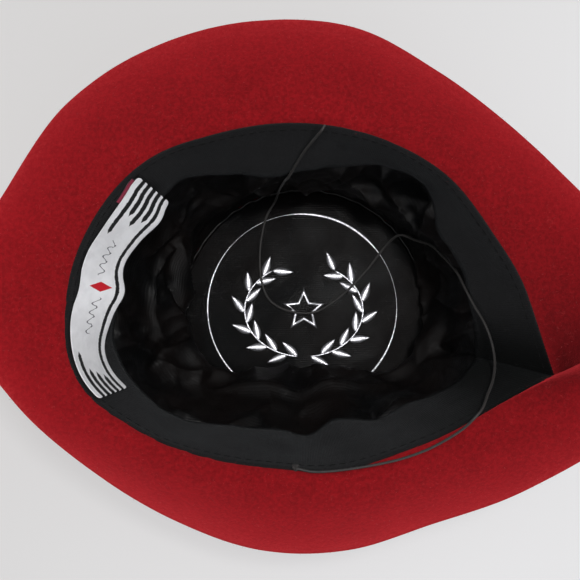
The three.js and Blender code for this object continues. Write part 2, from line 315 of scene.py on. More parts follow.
@dataclass(frozen=True)
class HatForm:
    """The hat's form, as functions of the turn. Lengths are in millimetres, round the axis."""

    axis: tuple[float, float]
    pinch: Pinch = Pinch()
    gap: float = 0.3
    thickness: float = 2
    tip_length: float = 60
    tip_width: float = 48
    tip_squareness: float = 2.2
    tip_round: float = 4
    roll_round: float = 3
    wall_taper: float = 0.3
    wall_flare: float = 4
    brim_curl: float = 1.7
    band_thickness: float = 1
    band_width: float = 24
    band_below_lip: float = 1.2
    band_stand_power: float = 1.3
    band_waves: int = 5
    band_wave_height: float = 1.2

    def from_crease(self, turn: Array) -> Array:
        """The signed angle from the crease, between -180 and 180."""
        return turn_from(self.pinch.turn, turn)

    def opening_reach(self, turn: Array) -> Array:
        """How far the opening reaches from the axis."""
        off = self.from_crease(turn)
        spread = np.where(off > 0, self.pinch.spread_up, self.pinch.spread_down)
        return around(SECTIONS, "opening", turn) + self.pinch.reach * np.exp(-np.abs(off) / spread)

    def crease_step(self, turn: Array, reach: Array) -> Array:
        """The height of the felt beside the crease: a broad dip above it, a rounded lap below.

        Args:
            turn: The turns of the places.
            reach: How far they lie from the axis.

        Returns:
            Millimetres up from the plain brim.
        """
        pinch = self.pinch
        side = np.radians(self.from_crease(turn)) * reach
        off = np.abs(side)
        dip = pinch.valley * np.exp(-off / pinch.valley_width)
        dip += pinch.groove * np.exp(-off / pinch.groove_width)
        floor = pinch.valley + pinch.groove + pinch.ridge
        lap = pinch.ridge * np.exp(-off / pinch.ridge_width)
        lap -= floor * np.exp(-off / pinch.lap_round)
        return np.where(side > 0, -dip, lap)

    def crease_shade(self, turn: Array, reach: Array) -> Array:
        """How much painted shade falls on the felt beside the crease, between 0 and 1."""
        side = np.radians(self.from_crease(turn)) * reach
        fade = np.where(side > 0, self.pinch.shade_up, self.pinch.shade_down)
        return np.exp(-np.abs(side) / fade)

    def lip_height(self, turn: Array) -> Array:
        """The height of the opening's rim."""
        step = self.crease_step(turn, self.opening_reach(turn))
        return around(SECTIONS, "lip", turn) + self.pinch.at_lip * step

    def tip_reach(self, turn: Array) -> Array:
        """How far the inside of the crown's tip reaches from the axis."""
        along = np.abs(toward(turn)) / (self.tip_length, self.tip_width)
        return (along ** self.tip_squareness).sum(axis=-1) ** (-1 / self.tip_squareness)

    def wall_reach(self, turn: Array, height: Array) -> Array:
        """How far the felt wall's inside reaches from the axis.

        Args:
            turn: The turns.
            height: The heights above the table.

        Returns:
            The reach at each place.
        """
        low = self.thickness + self.tip_round
        share = np.clip((height - low) / (self.lip_height(turn) - self.roll_round - low), 0, 1)
        flare = self.wall_taper * share + (1 - self.wall_taper) * share ** self.wall_flare
        return lerp(self.tip_reach(turn), self.opening_reach(turn), flare)

    def brim_run(self, turn: Array) -> tuple[Array, Array, Array]:
        """The brim's run from the opening to its edge.

        Args:
            turn: The turns of the sections.

        Returns:
            The unit heading in plan, the run's length and the edge's height.
        """
        start = toward(turn) * self.opening_reach(turn)[..., None]
        bend = bump_at(self.from_crease(turn), 0, self.pinch.skew_spread)
        out_turn = turn + self.pinch.skew * bend
        reach = around(SECTIONS, "brim", out_turn)
        run = toward(out_turn) * reach[..., None] - start
        length = np.linalg.norm(run, axis=-1)
        step = self.crease_step(turn, reach)
        edge = around(SECTIONS, "edge", out_turn) + self.pinch.at_edge * step
        return run / length[..., None], length, edge

    def band_point(self, turn: Array, depth: Array) -> Array:
        """A point of the ribbon's plain inner face.

        Args:
            turn: The turns.
            depth: The depths below the ribbon's top edge.

        Returns:
            Points (out, height).
        """
        share = depth / self.band_width
        wave = self.band_wave_height * np.sin(np.radians(self.band_waves * turn)) * share
        height = self.lip_height(turn) - self.band_below_lip - depth + wave
        stand = around(HEMS, "stand", turn) * np.maximum(share, 0) ** self.band_stand_power
        off = self.gap + self.band_thickness + stand
        return np.stack([self.wall_reach(turn, height) - off, height], axis=-1)

    def placed(self, turn: Array, path: Array) -> Array:
        """Puts points of sections where they are.

        Args:
            turn: The sections' turns, in degrees.
            path: Points (out, height) of the sections, whose last axis but one is the turn's.

        Returns:
            Points (x, y, z) in metres in the model's frame.
        """
        out, height = path[..., 0], path[..., 1]
        reach = self.opening_reach(turn)
        heading, _, _ = self.brim_run(turn)
        plan = (toward(turn) * np.minimum(out, reach)[..., None]
                + heading * np.maximum(out - reach, 0)[..., None])
        return self.framed(np.concatenate([plan, height[..., None]], axis=-1))

    def framed(self, points: Array) -> Array:
        """Millimetres round the axis as metres in the model's frame."""
        return (np.asarray(points, float) + (*self.axis, 0)) * MM


# ---------- meshes ----------


def uv_map(across: Array, along: Array) -> Array:
    """A UV map over a grid of points, from the places of its columns and of its rows."""
    return np.stack(np.broadcast_arrays(across[None, :], along[:, None]), axis=-1)


@dataclass
class Cloth:
    """A grid of points as a mesh: its faces, its UV map and its attributes."""

    points: Array
    rows_close: bool = False
    columns_close: bool = False
    uv: Array | None = None
    marks: dict[str, Array] = field(default_factory=dict)

    def cells(self) -> tuple[Array, Array]:
        """The row and the column that each face starts from."""
        rows, columns = self.points.shape[:2]
        row, column = np.meshgrid(np.arange(rows if self.rows_close else rows - 1),
                                  np.arange(columns if self.columns_close else columns - 1),
                                  indexing="ij")
        return row.ravel(), column.ravel()

    def quads(self) -> Array:
        """Four point numbers for each face."""
        rows, columns = self.points.shape[:2]
        row, column = self.cells()
        near = row * columns
        far = (row + 1) % rows * columns
        right = (column + 1) % columns
        return np.stack([near + column, near + right, far + right, far + column], axis=-1)

    def corner_uv(self) -> Array:
        """The UV map at each face's corners; uv goes one further where the grid closes."""
        row, column = self.cells()
        corners = [self.uv[row, column], self.uv[row, column + 1],
                   self.uv[row + 1, column + 1], self.uv[row + 1, column]]
        return np.stack(corners, axis=1).reshape(-1, 2)

    def build(self, name: str, flip: bool = False) -> Piece:
        """Makes the mesh and its object.

        Args:
            name: The piece's name.
            flip: Whether the faces are turned over.

        Returns:
            The new object, smooth shaded.
        """
        mesh = bpy.data.meshes.new(name)
        mesh.from_pydata(self.points.reshape(-1, 3).tolist(), [], self.quads().tolist())
        if self.uv is not None:
            layer = mesh.uv_layers.new(name="UVMap")
            layer.uv.foreach_set("vector", self.corner_uv().astype(np.float32).ravel())
        for mark, values in self.marks.items():
            attribute = mesh.attributes.new(mark, "FLOAT", "POINT")
            attribute.data.foreach_set("value", values.astype(np.float32).ravel())
        tidy_mesh(mesh, flip)
        return new_object(name, mesh)


def tidy_mesh(mesh: bpy.types.Mesh, flip: bool) -> None:
    """Merges doubled points, drops faces without area and shades a mesh smooth.

    Args:
        mesh: The mesh.
        flip: Whether its faces are turned over.
    """
    draft = bmesh.new()
    draft.from_mesh(mesh)
    bmesh.ops.remove_doubles(draft, verts=draft.verts, dist=1e-7)
    bmesh.ops.dissolve_degenerate(draft, edges=draft.edges, dist=1e-8)
    if flip:
        bmesh.ops.reverse_faces(draft, faces=draft.faces)
    draft.to_mesh(mesh)
    draft.free()
    mesh.shade_smooth()


def new_object(name: str, data: bpy.types.ID) -> Piece:
    """An object for some data, linked to the scene."""
    made = bpy.data.objects.new(name, data)
    bpy.context.scene.collection.objects.link(made)
    return made


def tube(way: Array, radius: Array, sides: int) -> Array:
    """Rings of points round a way, turned so that they never twist.

    Args:
        way: The way's points.
        radius: The tube's radius at each ring and side, or one number.
        sides: Points in a ring.

    Returns:
        A grid of points, one row for each ring.
    """
    ahead = np.gradient(way, axis=0)
    ahead /= np.linalg.norm(ahead, axis=1, keepdims=True)
    side = np.cross(ahead[0], (0.3, 0.5, 0.81))
    across = np.empty_like(way)
    for k, direction in enumerate(ahead):
        side = side - direction * side.dot(direction)
        side /= np.linalg.norm(side)
        across[k] = side
    up = np.cross(ahead, across)
    angle = np.linspace(0, math.tau, sides, endpoint=False)
    ring = across[:, None] * np.cos(angle)[:, None] + up[:, None] * np.sin(angle)[:, None]
    return way[:, None] + ring * np.broadcast_to(radius, (len(way), sides))[..., None]


def loop_tube(way: Array, radius: float, sides: int) -> Array:
    """Rings of points round a closed way, whose first point isn't given again at its end."""
    return tube(np.concatenate([way, way[:1]]), radius, sides)[:-1]


def capped(rings: Array) -> Array:
    """A tube's rings with a point at each end, so that it is closed."""
    ends = [np.repeat(rings[k].mean(axis=0)[None, None], rings.shape[1], axis=1) for k in (0, -1)]
    return np.concatenate([ends[0], rings, ends[1]])


def thicken(piece: Piece, thickness: float) -> None:
    """Gives an open sheet its thickness, in metres, behind its faces."""
    solid = piece.modifiers.new("thickness", "SOLIDIFY")
    solid.thickness = thickness
    solid.offset = -1
    solid.use_even_offset = False


# ---------- nodes ----------


class NodeMaker:
    """Adds nodes to a tree. A socket is set by name, to a value or to another node's output."""

    def __init__(self, tree: bpy.types.NodeTree) -> None:
        """Keeps the tree that the nodes go into."""
        self.tree = tree

    def add(self, kind: str, sockets: dict | None = None, **settings: object) -> Node:
        """Adds one node.

        Args:
            kind: The node's type.
            sockets: Its inputs by name or number, each with a value or an output.
            settings: Its own settings.

        Returns:
            The new node.
        """
        node = self.tree.nodes.new(kind)
        for name, value in settings.items():
            setattr(node, name, value)
        for name, value in (sockets or {}).items():
            self.feed(node.inputs[name], value)
        return node

    def feed(self, socket: Socket, value: object) -> None:
        """Sets an input to a value, or links it to an output.

        Args:
            socket: The input.
            value: The value or the output.
        """
        if isinstance(value, Socket):
            self.tree.links.new(value, socket)
        else:
            socket.default_value = value

    def math(self, operation: str, *values: object) -> Socket:
        """The output of a Math node on up to three values."""
        return self.add("ShaderNodeMath", dict(enumerate(values)), operation=operation).outputs[0]

    def times(self, first: object, second: object) -> Socket:
        """The product of two values."""
        return self.math("MULTIPLY", first, second)

    def ramp(self, value: object, low: float, high: float,
             to_low: float = 0.0, to_high: float = 1.0) -> Socket:
        """A value brought smoothly from one range to another, and kept in it.

        Args:
            value: The value.
            low: The start of its range, which may be the larger end.
            high: The end of its range.
            to_low: What low becomes.
            to_high: What high becomes.

        Returns:
            The new value.
        """
        sockets = {"Value": value, "From Min": low, "From Max": high,
                   "To Min": to_low, "To Max": to_high}
        node = self.add("ShaderNodeMapRange", sockets, interpolation_type="SMOOTHSTEP")
        return node.outputs["Result"]

    def mix(self, share: object, first: object, second: object) -> Socket:
        """Two colours mixed by a share of the second."""
        sockets = {0: share, 6: first, 7: second}
        return self.add("ShaderNodeMix", sockets, data_type="RGBA").outputs[2]

    def noise(self, vector: object, scale: object, detail: float = 2.0,
              roughness: float = 0.5) -> Socket:
        """The value of a Noise Texture."""
        sockets = {"Vector": vector, "Scale": scale, "Detail": detail, "Roughness": roughness}
        return self.add("ShaderNodeTexNoise", sockets).outputs["Fac"]

    def bent(self, vector: object, scale: object, reach: float) -> Socket:
        """A place moved about by noise of a scale, by at most a reach in metres."""
        noise = self.add("ShaderNodeTexNoise", {"Vector": vector, "Scale": scale})
        move = self.add("ShaderNodeVectorMath", {0: noise.outputs["Color"], "Scale": reach},
                        operation="SCALE")
        return self.add("ShaderNodeVectorMath", {0: vector, 1: move.outputs[0]},
                        operation="ADD").outputs[0]

    def attribute(self, name: str) -> Socket:
        """The value of one of the piece's own attributes."""
        return self.add("ShaderNodeAttribute", attribute_name=name).outputs["Fac"]

    def group(self, tree: bpy.types.NodeTree, sockets: dict) -> Node:
        """A node group with its inputs.

        Args:
            tree: The group's tree.
            sockets: The inputs that differ from their defaults, by name.

        Returns:
            The group's node.
        """
        node = self.tree.nodes.new("ShaderNodeGroup")
        node.node_tree = tree
        for name, value in sockets.items():
            self.feed(node.inputs[name], value)
        return node


def new_material(name: str) -> tuple[Material, NodeMaker, Node]:
    """A new material with its shader.

    Args:
        name: The material's name.

    Returns:
        The material, the maker for its nodes and its shader node.
    """
    material = bpy.data.materials.new(name)
    material.use_nodes = True
    shader = next(n for n in material.node_tree.nodes if n.type == "BSDF_PRINCIPLED")
    return material, NodeMaker(material.node_tree), shader


class EffectGroups:
    """The shader node groups that several materials share."""

    def __init__(self) -> None:
        """Builds each group once."""
        self.fibres = self.matted_fibres()
        self.weave = self.plain_weave()
        self.lint = self.loose_lint()

    @staticmethod
    def shell(name: str, inputs: dict[str, float | None], outputs: tuple[str, ...]) -> tuple:
        """An empty group with its sockets.

        Args:
            name: The group's name.
            inputs: Its inputs with their default values, and None for a vector.
            outputs: The names of its values.

        Returns:
            The group's tree, its maker, its input node and its output node.
        """
        tree = bpy.data.node_groups.new(name, "ShaderNodeTree")
        for label, default in inputs.items():
            kind = "NodeSocketVector" if default is None else "NodeSocketFloat"
            socket = tree.interface.new_socket(name=label, in_out="INPUT", socket_type=kind)
            if default is not None:
                socket.default_value = default
        for label in outputs:
            tree.interface.new_socket(name=label, in_out="OUTPUT", socket_type="NodeSocketFloat")
        maker = NodeMaker(tree)
        return tree, maker, maker.add("NodeGroupInput"), maker.add("NodeGroupOutput")

    def matted_fibres(self) -> bpy.types.NodeTree:
        """Matted wool: broad blotches, small specks and the height of the tangled fibres."""
        tree, maker, given, result = self.shell(
            "matted_fibres", {"Vector": None, "Blotch": 90.0, "Speck": 900.0, "Fibre": 2600.0},
            ("Blotch", "Speck", "Height"))
        vector = given.outputs["Vector"]
        tangled = maker.bent(vector, given.outputs["Speck"], 0.0012)
        blotch = maker.noise(vector, given.outputs["Blotch"], 3.0, 0.6)
        speck = maker.noise(tangled, given.outputs["Speck"], 3.0, 0.65)
        fibre = maker.noise(tangled, given.outputs["Fibre"], 2.0, 0.6)
        height = maker.math("ADD", maker.times(speck, 0.6), maker.times(fibre, 0.4))
        maker.feed(result.inputs["Blotch"], maker.ramp(blotch, 0.3, 0.7))
        maker.feed(result.inputs["Speck"], maker.ramp(speck, 0.32, 0.68))
        maker.feed(result.inputs["Height"], height)
        return tree

    def plain_weave(self) -> bpy.types.NodeTree:
        """Woven threads: the height of warp over weft, from a UV map in metres."""
        tree, maker, given, result = self.shell(
            "plain_weave", {"Vector": None, "Across": 3000.0, "Along": 3000.0},
            ("Height", "Thread"))
        parts = maker.add("ShaderNodeSeparateXYZ", {0: given.outputs["Vector"]})
        half_turns = [
            maker.times(maker.times(parts.outputs[axis], given.outputs[name]), math.pi)
            for axis, name in (("X", "Across"), ("Y", "Along"))]
        warp, weft = (maker.math("ABSOLUTE", maker.math("SINE", turn)) for turn in half_turns)
        over = maker.times(maker.math("SINE", half_turns[0]), maker.math("SINE", half_turns[1]))
        height = maker.math("MAXIMUM", maker.times(warp, maker.ramp(over, -0.3, 0.3)),
                            maker.times(weft, maker.ramp(over, 0.3, -0.3)))
        maker.feed(result.inputs["Height"], height)
        maker.feed(result.inputs["Thread"], maker.times(warp, weft))
        return tree

    def loose_lint(self) -> bpy.types.NodeTree:
        """A few pale fibres that lie on cloth: a mask of short bent lines."""
        tree, maker, given, result = self.shell(
            "loose_lint", {"Vector": None, "Size": 260.0, "Amount": 0.2}, ("Mask",))
        vector = given.outputs["Vector"]
        moved = maker.bent(vector, given.outputs["Size"], 0.004)
        cells = maker.add("ShaderNodeTexVoronoi",
                          {"Vector": moved, "Scale": given.outputs["Size"]},
                          feature="DISTANCE_TO_EDGE").outputs["Distance"]
        thin = maker.ramp(cells, 0.0, 0.02, 1.0, 0.0)
        patch = maker.noise(vector, given.outputs["Size"], 1.0)
        chosen = maker.ramp(maker.math("ADD", patch, given.outputs["Amount"]), 0.78, 0.84)
        maker.feed(result.inputs["Mask"], maker.times(thin, chosen))
        return tree


class Slot(Enum):
    """The record's material slots."""

    FELT = "felt"
    RIBBON = "ribbon"
    SATIN = "satin"
    LABEL = "label"
    ELASTIC = "elastic"
    FOIL = "foil"


@dataclass(frozen=True)
class Finish:
    """What every finish has: its plain shader values and a material with no pattern yet.

    The grain is the height of the finish's relief, in metres.
    """

    roughness: float
    metallic: float = 0.0
    specular: float = 0.5
    sheen: float = 0.0
    sheen_roughness: float = 0.4
    sheen_tint: Colour = (1.0, 1.0, 1.0, 1.0)
    grain: float = 0.0

    def blank(self, name: str) -> tuple[Material, NodeMaker, Node]:
        """A material with the finish's plain shader values.

        Args:
            name: The material's name.

        Returns:
            The material, the maker for its nodes and its shader node.
        """
        material, maker, shader = new_material(name)
        plain = {"Roughness": self.roughness, "Metallic": self.metallic,
                 "Specular IOR Level": self.specular, "Sheen Weight": self.sheen,
                 "Sheen Roughness": self.sheen_roughness, "Sheen Tint": self.sheen_tint}
        for socket, value in plain.items():
            shader.inputs[socket].default_value = value
        return material, maker, shader

    @staticmethod
    def coordinates(maker: NodeMaker, kind: str = "Object") -> Socket:
        """The Object coordinates, or the UV map, of the piece."""
        return maker.add("ShaderNodeTexCoord").outputs[kind]

    def raise_bump(self, maker: NodeMaker, shader: Node, height: object) -> None:
        """Turns a height into the shader's normal, with the finish's grain.

        Args:
            maker: Adds the node.
            shader: The shader.
            height: The height.
        """
        sockets = {"Height": height, "Distance": self.grain, "Strength": 1.0}
        bump = maker.add("ShaderNodeBump", sockets)
        maker.feed(shader.inputs["Normal"], bump.outputs["Normal"])


@dataclass(frozen=True)
class FeltFinish(Finish):
    """Red wool felt with a soft nap laid one way, painted light along the brim's edge and painted
    shade by the crease.
    """

    roughness: float = 0.95
    specular: float = 0.08
    sheen: float = 0.7
    sheen_roughness: float = 0.55
    sheen_tint: Colour = (1.0, 0.06, 0.075, 1.0)
    deep: Colour = (0.13, 0.0030, 0.0045, 1.0)
    bright: Colour = (0.245, 0.0055, 0.0085, 1.0)
    # Painted light: the lighter colour of the brim's outer band, where sheen and light fall.
    painted_edge_light: Colour = (0.38, 0.011, 0.017, 1.0)
    # Painted shade: the dark colour the felt takes beside the crease, where shade falls.
    creased: Colour = (0.020, 0.0008, 0.0011, 1.0)
    pale: Colour = (0.50, 0.06, 0.06, 1.0)
    grain: float = 0.00035

    def material(self, groups: EffectGroups) -> Material:
        """The felt, with blotches, specks, a few pale fibres, a worn edge, painted light along the
        brim and painted shade by the crease.

        Args:
            groups: The shared effects.

        Returns:
            The material.
        """
        material, maker, shader = self.blank("red_wool_felt")
        vector = self.coordinates(maker)
        fibres = maker.group(groups.fibres, {"Vector": vector})
        lint = maker.group(groups.lint, {"Vector": vector, "Size": 420.0, "Amount": 0.18})
        share = maker.math("ADD", maker.times(fibres.outputs["Blotch"], 0.25),
                           maker.times(fibres.outputs["Speck"], 0.75))
        colour = maker.mix(share, self.deep, self.bright)
        # Painted light: the felt lightens toward the brim's outer edge, by the mark named pale.
        edge = maker.attribute("pale")
        colour = maker.mix(maker.times(edge, 0.55), colour, self.painted_edge_light)
        # Painted shade: the felt darkens toward the crease, by the mark named pressed.
        pressed = maker.attribute("pressed")
        colour = maker.mix(maker.times(pressed, 0.95), colour, self.creased)
        worn = maker.attribute("worn")
        worn = maker.times(worn, maker.ramp(fibres.outputs["Speck"], 0.2, 0.9, 0.1, 0.5))
        colour = maker.mix(worn, colour, self.pale)
        colour = maker.mix(maker.times(lint.outputs["Mask"], 0.25), colour, self.pale)
        maker.feed(shader.inputs["Base Color"], colour)
        self.raise_bump(maker, shader, fibres.outputs["Height"])
        return material


@dataclass(frozen=True)
class FuzzFinish(Finish):
    """The single fibres that stand out of the felt."""

    roughness: float = 0.8
    specular: float = 0.3
    sheen: float = 0.3
    tip: Colour = (0.42, 0.03, 0.035, 1.0)
    root: Colour = (0.24, 0.008, 0.012, 1.0)

    def material(self, groups: EffectGroups) -> Material:
        """Wool of slightly mixed reds."""
        material, maker, shader = self.blank("red_wool_fibre")
        fibres = maker.group(groups.fibres, {"Vector": self.coordinates(maker)})
        maker.feed(shader.inputs["Base Color"],
                   maker.mix(fibres.outputs["Speck"], self.root, self.tip))
        return material


@dataclass(frozen=True)
class RibbonFinish(Finish):
    """Black grosgrain with dull ribs."""

    roughness: float = 0.85
    specular: float = 0.22
    sheen: float = 0.06
    sheen_tint: Colour = (0.9, 0.95, 1.0, 1.0)
    thread: Colour = (0.0102, 0.0100, 0.0108, 1.0)
    hollow: Colour = (0.0047, 0.0045, 0.0049, 1.0)
    shaded: Colour = (0.0022, 0.0025, 0.0023, 1.0)
    pale: Colour = (0.12, 0.12, 0.12, 1.0)
    threads_per_metre: float = 3400.0
    grain: float = 0.00006

    def material(self, groups: EffectGroups) -> Material:
        """The ribbon: fine threads over its ribs, dust, loose fibres and painted shade at the front
        corner.

        Args:
            groups: The shared effects.

        Returns:
            The material.
        """
        material, maker, shader = self.blank("black_grosgrain")
        across = self.threads_per_metre
        weave = maker.group(groups.weave, {"Vector": self.coordinates(maker, "UV"),
                                           "Across": across, "Along": across})
        vector = self.coordinates(maker)
        fibres = maker.group(groups.fibres, {"Vector": vector, "Blotch": 48.0})
        lint = maker.group(groups.lint, {"Vector": vector, "Size": 300.0, "Amount": 0.14})
        rib = maker.attribute("rib")
        share = maker.times(rib, maker.ramp(fibres.outputs["Blotch"], 0, 1, 0.45, 1.1))
        colour = maker.mix(share, self.hollow, self.thread)
        # Painted shade at the front corner: darker colour and less shine where shade falls.
        painted_corner_shade = maker.attribute("painted_corner_shade")
        colour = maker.mix(painted_corner_shade, colour, self.shaded)
        for socket, plain in (("Specular IOR Level", self.specular), ("Sheen Weight", self.sheen)):
            maker.feed(shader.inputs[socket], maker.ramp(painted_corner_shade, 0, 1, plain, 0.3 * plain))
        colour = maker.mix(maker.times(lint.outputs["Mask"], 0.18), colour, self.pale)
        maker.feed(shader.inputs["Base Color"], colour)
        maker.feed(shader.inputs["Roughness"],
                   maker.ramp(fibres.outputs["Speck"], 0, 1, self.roughness - 0.1, self.roughness))
        self.raise_bump(maker, shader, weave.outputs["Height"])
        return material


@dataclass(frozen=True)
class SatinFinish(Finish):
    """Thin black satin that shines on its folds."""

    name: str = "black_satin"
    roughness: float = 0.36
    specular: float = 0.2
    cool: Colour = (0.0030, 0.0032, 0.0035, 1.0)
    warm: Colour = (0.0044, 0.0030, 0.0028, 1.0)
    pale: Colour = (0.05, 0.05, 0.05, 1.0)
    threads_per_metre: float = 6000.0
    grain: float = 0.00006
    rumple: float = 5.0
    relief: float = 1.0

    def material(self, groups: EffectGroups) -> Material:
        """The satin: long floats of thread, soft rumpling and uneven gloss.

        Args:
            groups: The shared effects.

        Returns:
            The material.
        """
        material, maker, shader = self.blank(self.name)
        across = self.threads_per_metre
        weave = maker.group(groups.weave, {"Vector": self.coordinates(maker, "UV"),
                                           "Across": across, "Along": across / 4})
        vector = self.coordinates(maker)
        fibres = maker.group(groups.fibres, {"Vector": vector, "Blotch": 45.0, "Speck": 500.0})
        lint = maker.group(groups.lint, {"Vector": vector, "Size": 240.0, "Amount": 0.2})
        colour = maker.mix(fibres.outputs["Blotch"], self.cool, self.warm)
        colour = maker.mix(maker.times(lint.outputs["Mask"], 0.3), colour, self.pale)
        maker.feed(shader.inputs["Base Color"], colour)
        maker.feed(shader.inputs["Roughness"],
                   maker.ramp(fibres.outputs["Blotch"], 0, 1,
                              self.roughness - 0.05, self.roughness + 0.08))
        crumple = maker.noise(vector, 110.0, 2.0, 0.5)
        floats = maker.times(weave.outputs["Height"], self.relief)
        height = maker.math("ADD", maker.times(crumple, self.rumple), floats)
        self.raise_bump(maker, shader, height)
        return material


@dataclass(frozen=True)
class FoilFinish(Finish):
    """Silver foil pressed onto the satin."""

    roughness: float = 0.34
    metallic: float = 1.0
    silver: Colour = (0.78, 0.78, 0.82, 1.0)
    rubbed: Colour = (0.40, 0.39, 0.42, 1.0)
    grain: float = 0.00005

    def material(self, groups: EffectGroups) -> Material:
        """The foil, with the cloth's grain showing through and rubbed places.

        Args:
            groups: The shared effects.

        Returns:
            The material.
        """
        material, maker, shader = self.blank("silver_foil")
        fibres = maker.group(groups.fibres, {"Vector": self.coordinates(maker),
                                             "Blotch": 130.0, "Speck": 1400.0})
        rubbed = maker.times(maker.ramp(fibres.outputs["Speck"], 0.55, 0.95),
                             maker.ramp(fibres.outputs["Blotch"], 0.2, 0.9, 0.35, 1.0))
        maker.feed(shader.inputs["Base Color"], maker.mix(rubbed, self.silver, self.rubbed))
        maker.feed(shader.inputs["Roughness"],
                   maker.ramp(fibres.outputs["Speck"], 0, 1, self.roughness, self.roughness + 0.2))
        self.raise_bump(maker, shader, fibres.outputs["Height"])
        return material


class Stripe(NamedTuple):
    """One lengthwise stripe of the label: its place across, its width, and how far it runs in."""

    across: float
    width: float
    from_start: float
    from_end: float


STRIPES = (
    Stripe(0.167, 0.095, 0.26, 0.21),
    Stripe(0.333, 0.100, 0.15, 0.13),
    Stripe(0.500, 0.100, 0.19, 0.11),
    Stripe(0.667, 0.100, 0.15, 0.09),
    Stripe(0.833, 0.085, 1.0, 1.0),
)


@dataclass(frozen=True)
class LabelFinish(Finish):
    """A white woven label with black stripes and a plain red lozenge."""

    roughness: float = 0.62
    specular: float = 0.2
    sheen: float = 0.06
    white: Colour = (0.91, 0.91, 0.935, 1.0)
    black: Colour = (0.004, 0.004, 0.005, 1.0)
    red: Colour = (0.60, 0.008, 0.02, 1.0)
    grey: Colour = (0.10, 0.10, 0.12, 1.0)
    threads_per_metre: float = 4200.0
    grain: float = 0.00008
    lozenge_at: float = 0.5
    lozenge_long: float = 0.022
    lozenge_wide: float = 0.26
    length: float = 0.10
    width: float = 0.016

    def stripe_mask(self, maker: NodeMaker, along: object, across: object) -> Socket:
        """Where the black stripes are.

        Args:
            maker: Adds the nodes.
            along: The share of the label's length.
            across: The share of its width.

        Returns:
            The mask.
        """
        masks = []
        for stripe in STRIPES:
            off = maker.math("ABSOLUTE", maker.math("SUBTRACT", across, stripe.across))
            line = maker.ramp(off, stripe.width / 2 - 0.008, stripe.width / 2 + 0.008, 1.0, 0.0)
            taper = maker.times(off, 0.25)
            near = maker.ramp(maker.math("ADD", along, taper),
                              stripe.from_start - 0.004, stripe.from_start + 0.004, 1.0, 0.0)
            far = maker.ramp(maker.math("SUBTRACT", along, taper),
                             1 - stripe.from_end - 0.004, 1 - stripe.from_end + 0.004)
            masks.append(maker.times(line, maker.math("MAXIMUM", near, far)))
        mask = masks[0]
        for other in masks[1:]:
            mask = maker.math("MAXIMUM", mask, other)
        return mask

    def scroll_mask(self, maker: NodeMaker, along: object, across: object) -> Socket:
        """A thin wavy line on each side of the lozenge, in place of any lettering.

        Args:
            maker: Adds the nodes.
            along: The share of the label's length.
            across: The share of its width.

        Returns:
            The mask.
        """
        wave = maker.math("SINE", maker.times(along, 150.0))
        line = maker.math("MULTIPLY_ADD", wave, 0.07, 0.46)
        off = maker.math("ABSOLUTE", maker.math("SUBTRACT", across, line))
        thin = maker.ramp(off, 0.008, 0.024, 1.0, 0.0)
        from_middle = maker.math("ABSOLUTE", maker.math("SUBTRACT", along, self.lozenge_at))
        stretch = maker.times(maker.ramp(from_middle, 0.045, 0.055),
                              maker.ramp(from_middle, 0.21, 0.22, 1.0, 0.0))
        return maker.times(thin, stretch)

    def material(self, groups: EffectGroups) -> Material:
        """The label's weave and pattern, from its UV map in metres.

        Args:
            groups: The shared effects.

        Returns:
            The material.
        """
        material, maker, shader = self.blank("white_woven_label")
        uv = self.coordinates(maker, "UV")
        threads = self.threads_per_metre
        weave = maker.group(groups.weave, {"Vector": uv, "Across": threads, "Along": threads})
        fibres = maker.group(groups.fibres, {"Vector": self.coordinates(maker), "Blotch": 150.0})
        parts = maker.add("ShaderNodeSeparateXYZ", {0: uv})
        along = maker.math("DIVIDE", parts.outputs["X"], self.length)
        across = maker.math("DIVIDE", parts.outputs["Y"], self.width)
        jag = maker.math("MULTIPLY_ADD", fibres.outputs["Speck"], 0.012, -0.006)
        across = maker.math("ADD", across, jag)
        shade = maker.ramp(fibres.outputs["Blotch"], 0, 1, 0.0, 0.12)
        colour = maker.mix(shade, self.white, self.grey)
        colour = maker.mix(self.scroll_mask(maker, along, across), colour, self.grey)
        colour = maker.mix(self.stripe_mask(maker, along, across), colour, self.black)
        off_along = maker.math("ABSOLUTE", maker.math("SUBTRACT", along, self.lozenge_at))
        off_across = maker.math("ABSOLUTE", maker.math("SUBTRACT", across, 0.46))
        reach = maker.math("ADD", maker.math("DIVIDE", off_along, self.lozenge_long),
                           maker.math("DIVIDE", off_across, self.lozenge_wide))
        colour = maker.mix(maker.ramp(reach, 0.94, 1.06, 1.0, 0.0), colour, self.red)
        maker.feed(shader.inputs["Base Color"], colour)
        self.raise_bump(maker, shader, weave.outputs["Height"])
        return material


@dataclass(frozen=True)
class TagFinish(Finish):
    """The crimson ribbon under the label."""

    roughness: float = 0.6
    sheen: float = 0.2
    thread: Colour = (0.30, 0.006, 0.045, 1.0)
    hollow: Colour = (0.12, 0.002, 0.02, 1.0)
    grain: float = 0.00008

    def material(self, groups: EffectGroups) -> Material:
        """A plain crimson weave."""
        material, maker, shader = self.blank("crimson_ribbon")
        weave = maker.group(groups.weave, {"Vector": self.coordinates(maker, "UV")})
        maker.feed(shader.inputs["Base Color"],
                   maker.mix(weave.outputs["Thread"], self.hollow, self.thread))
        self.raise_bump(maker, shader, weave.outputs["Height"])
        return material


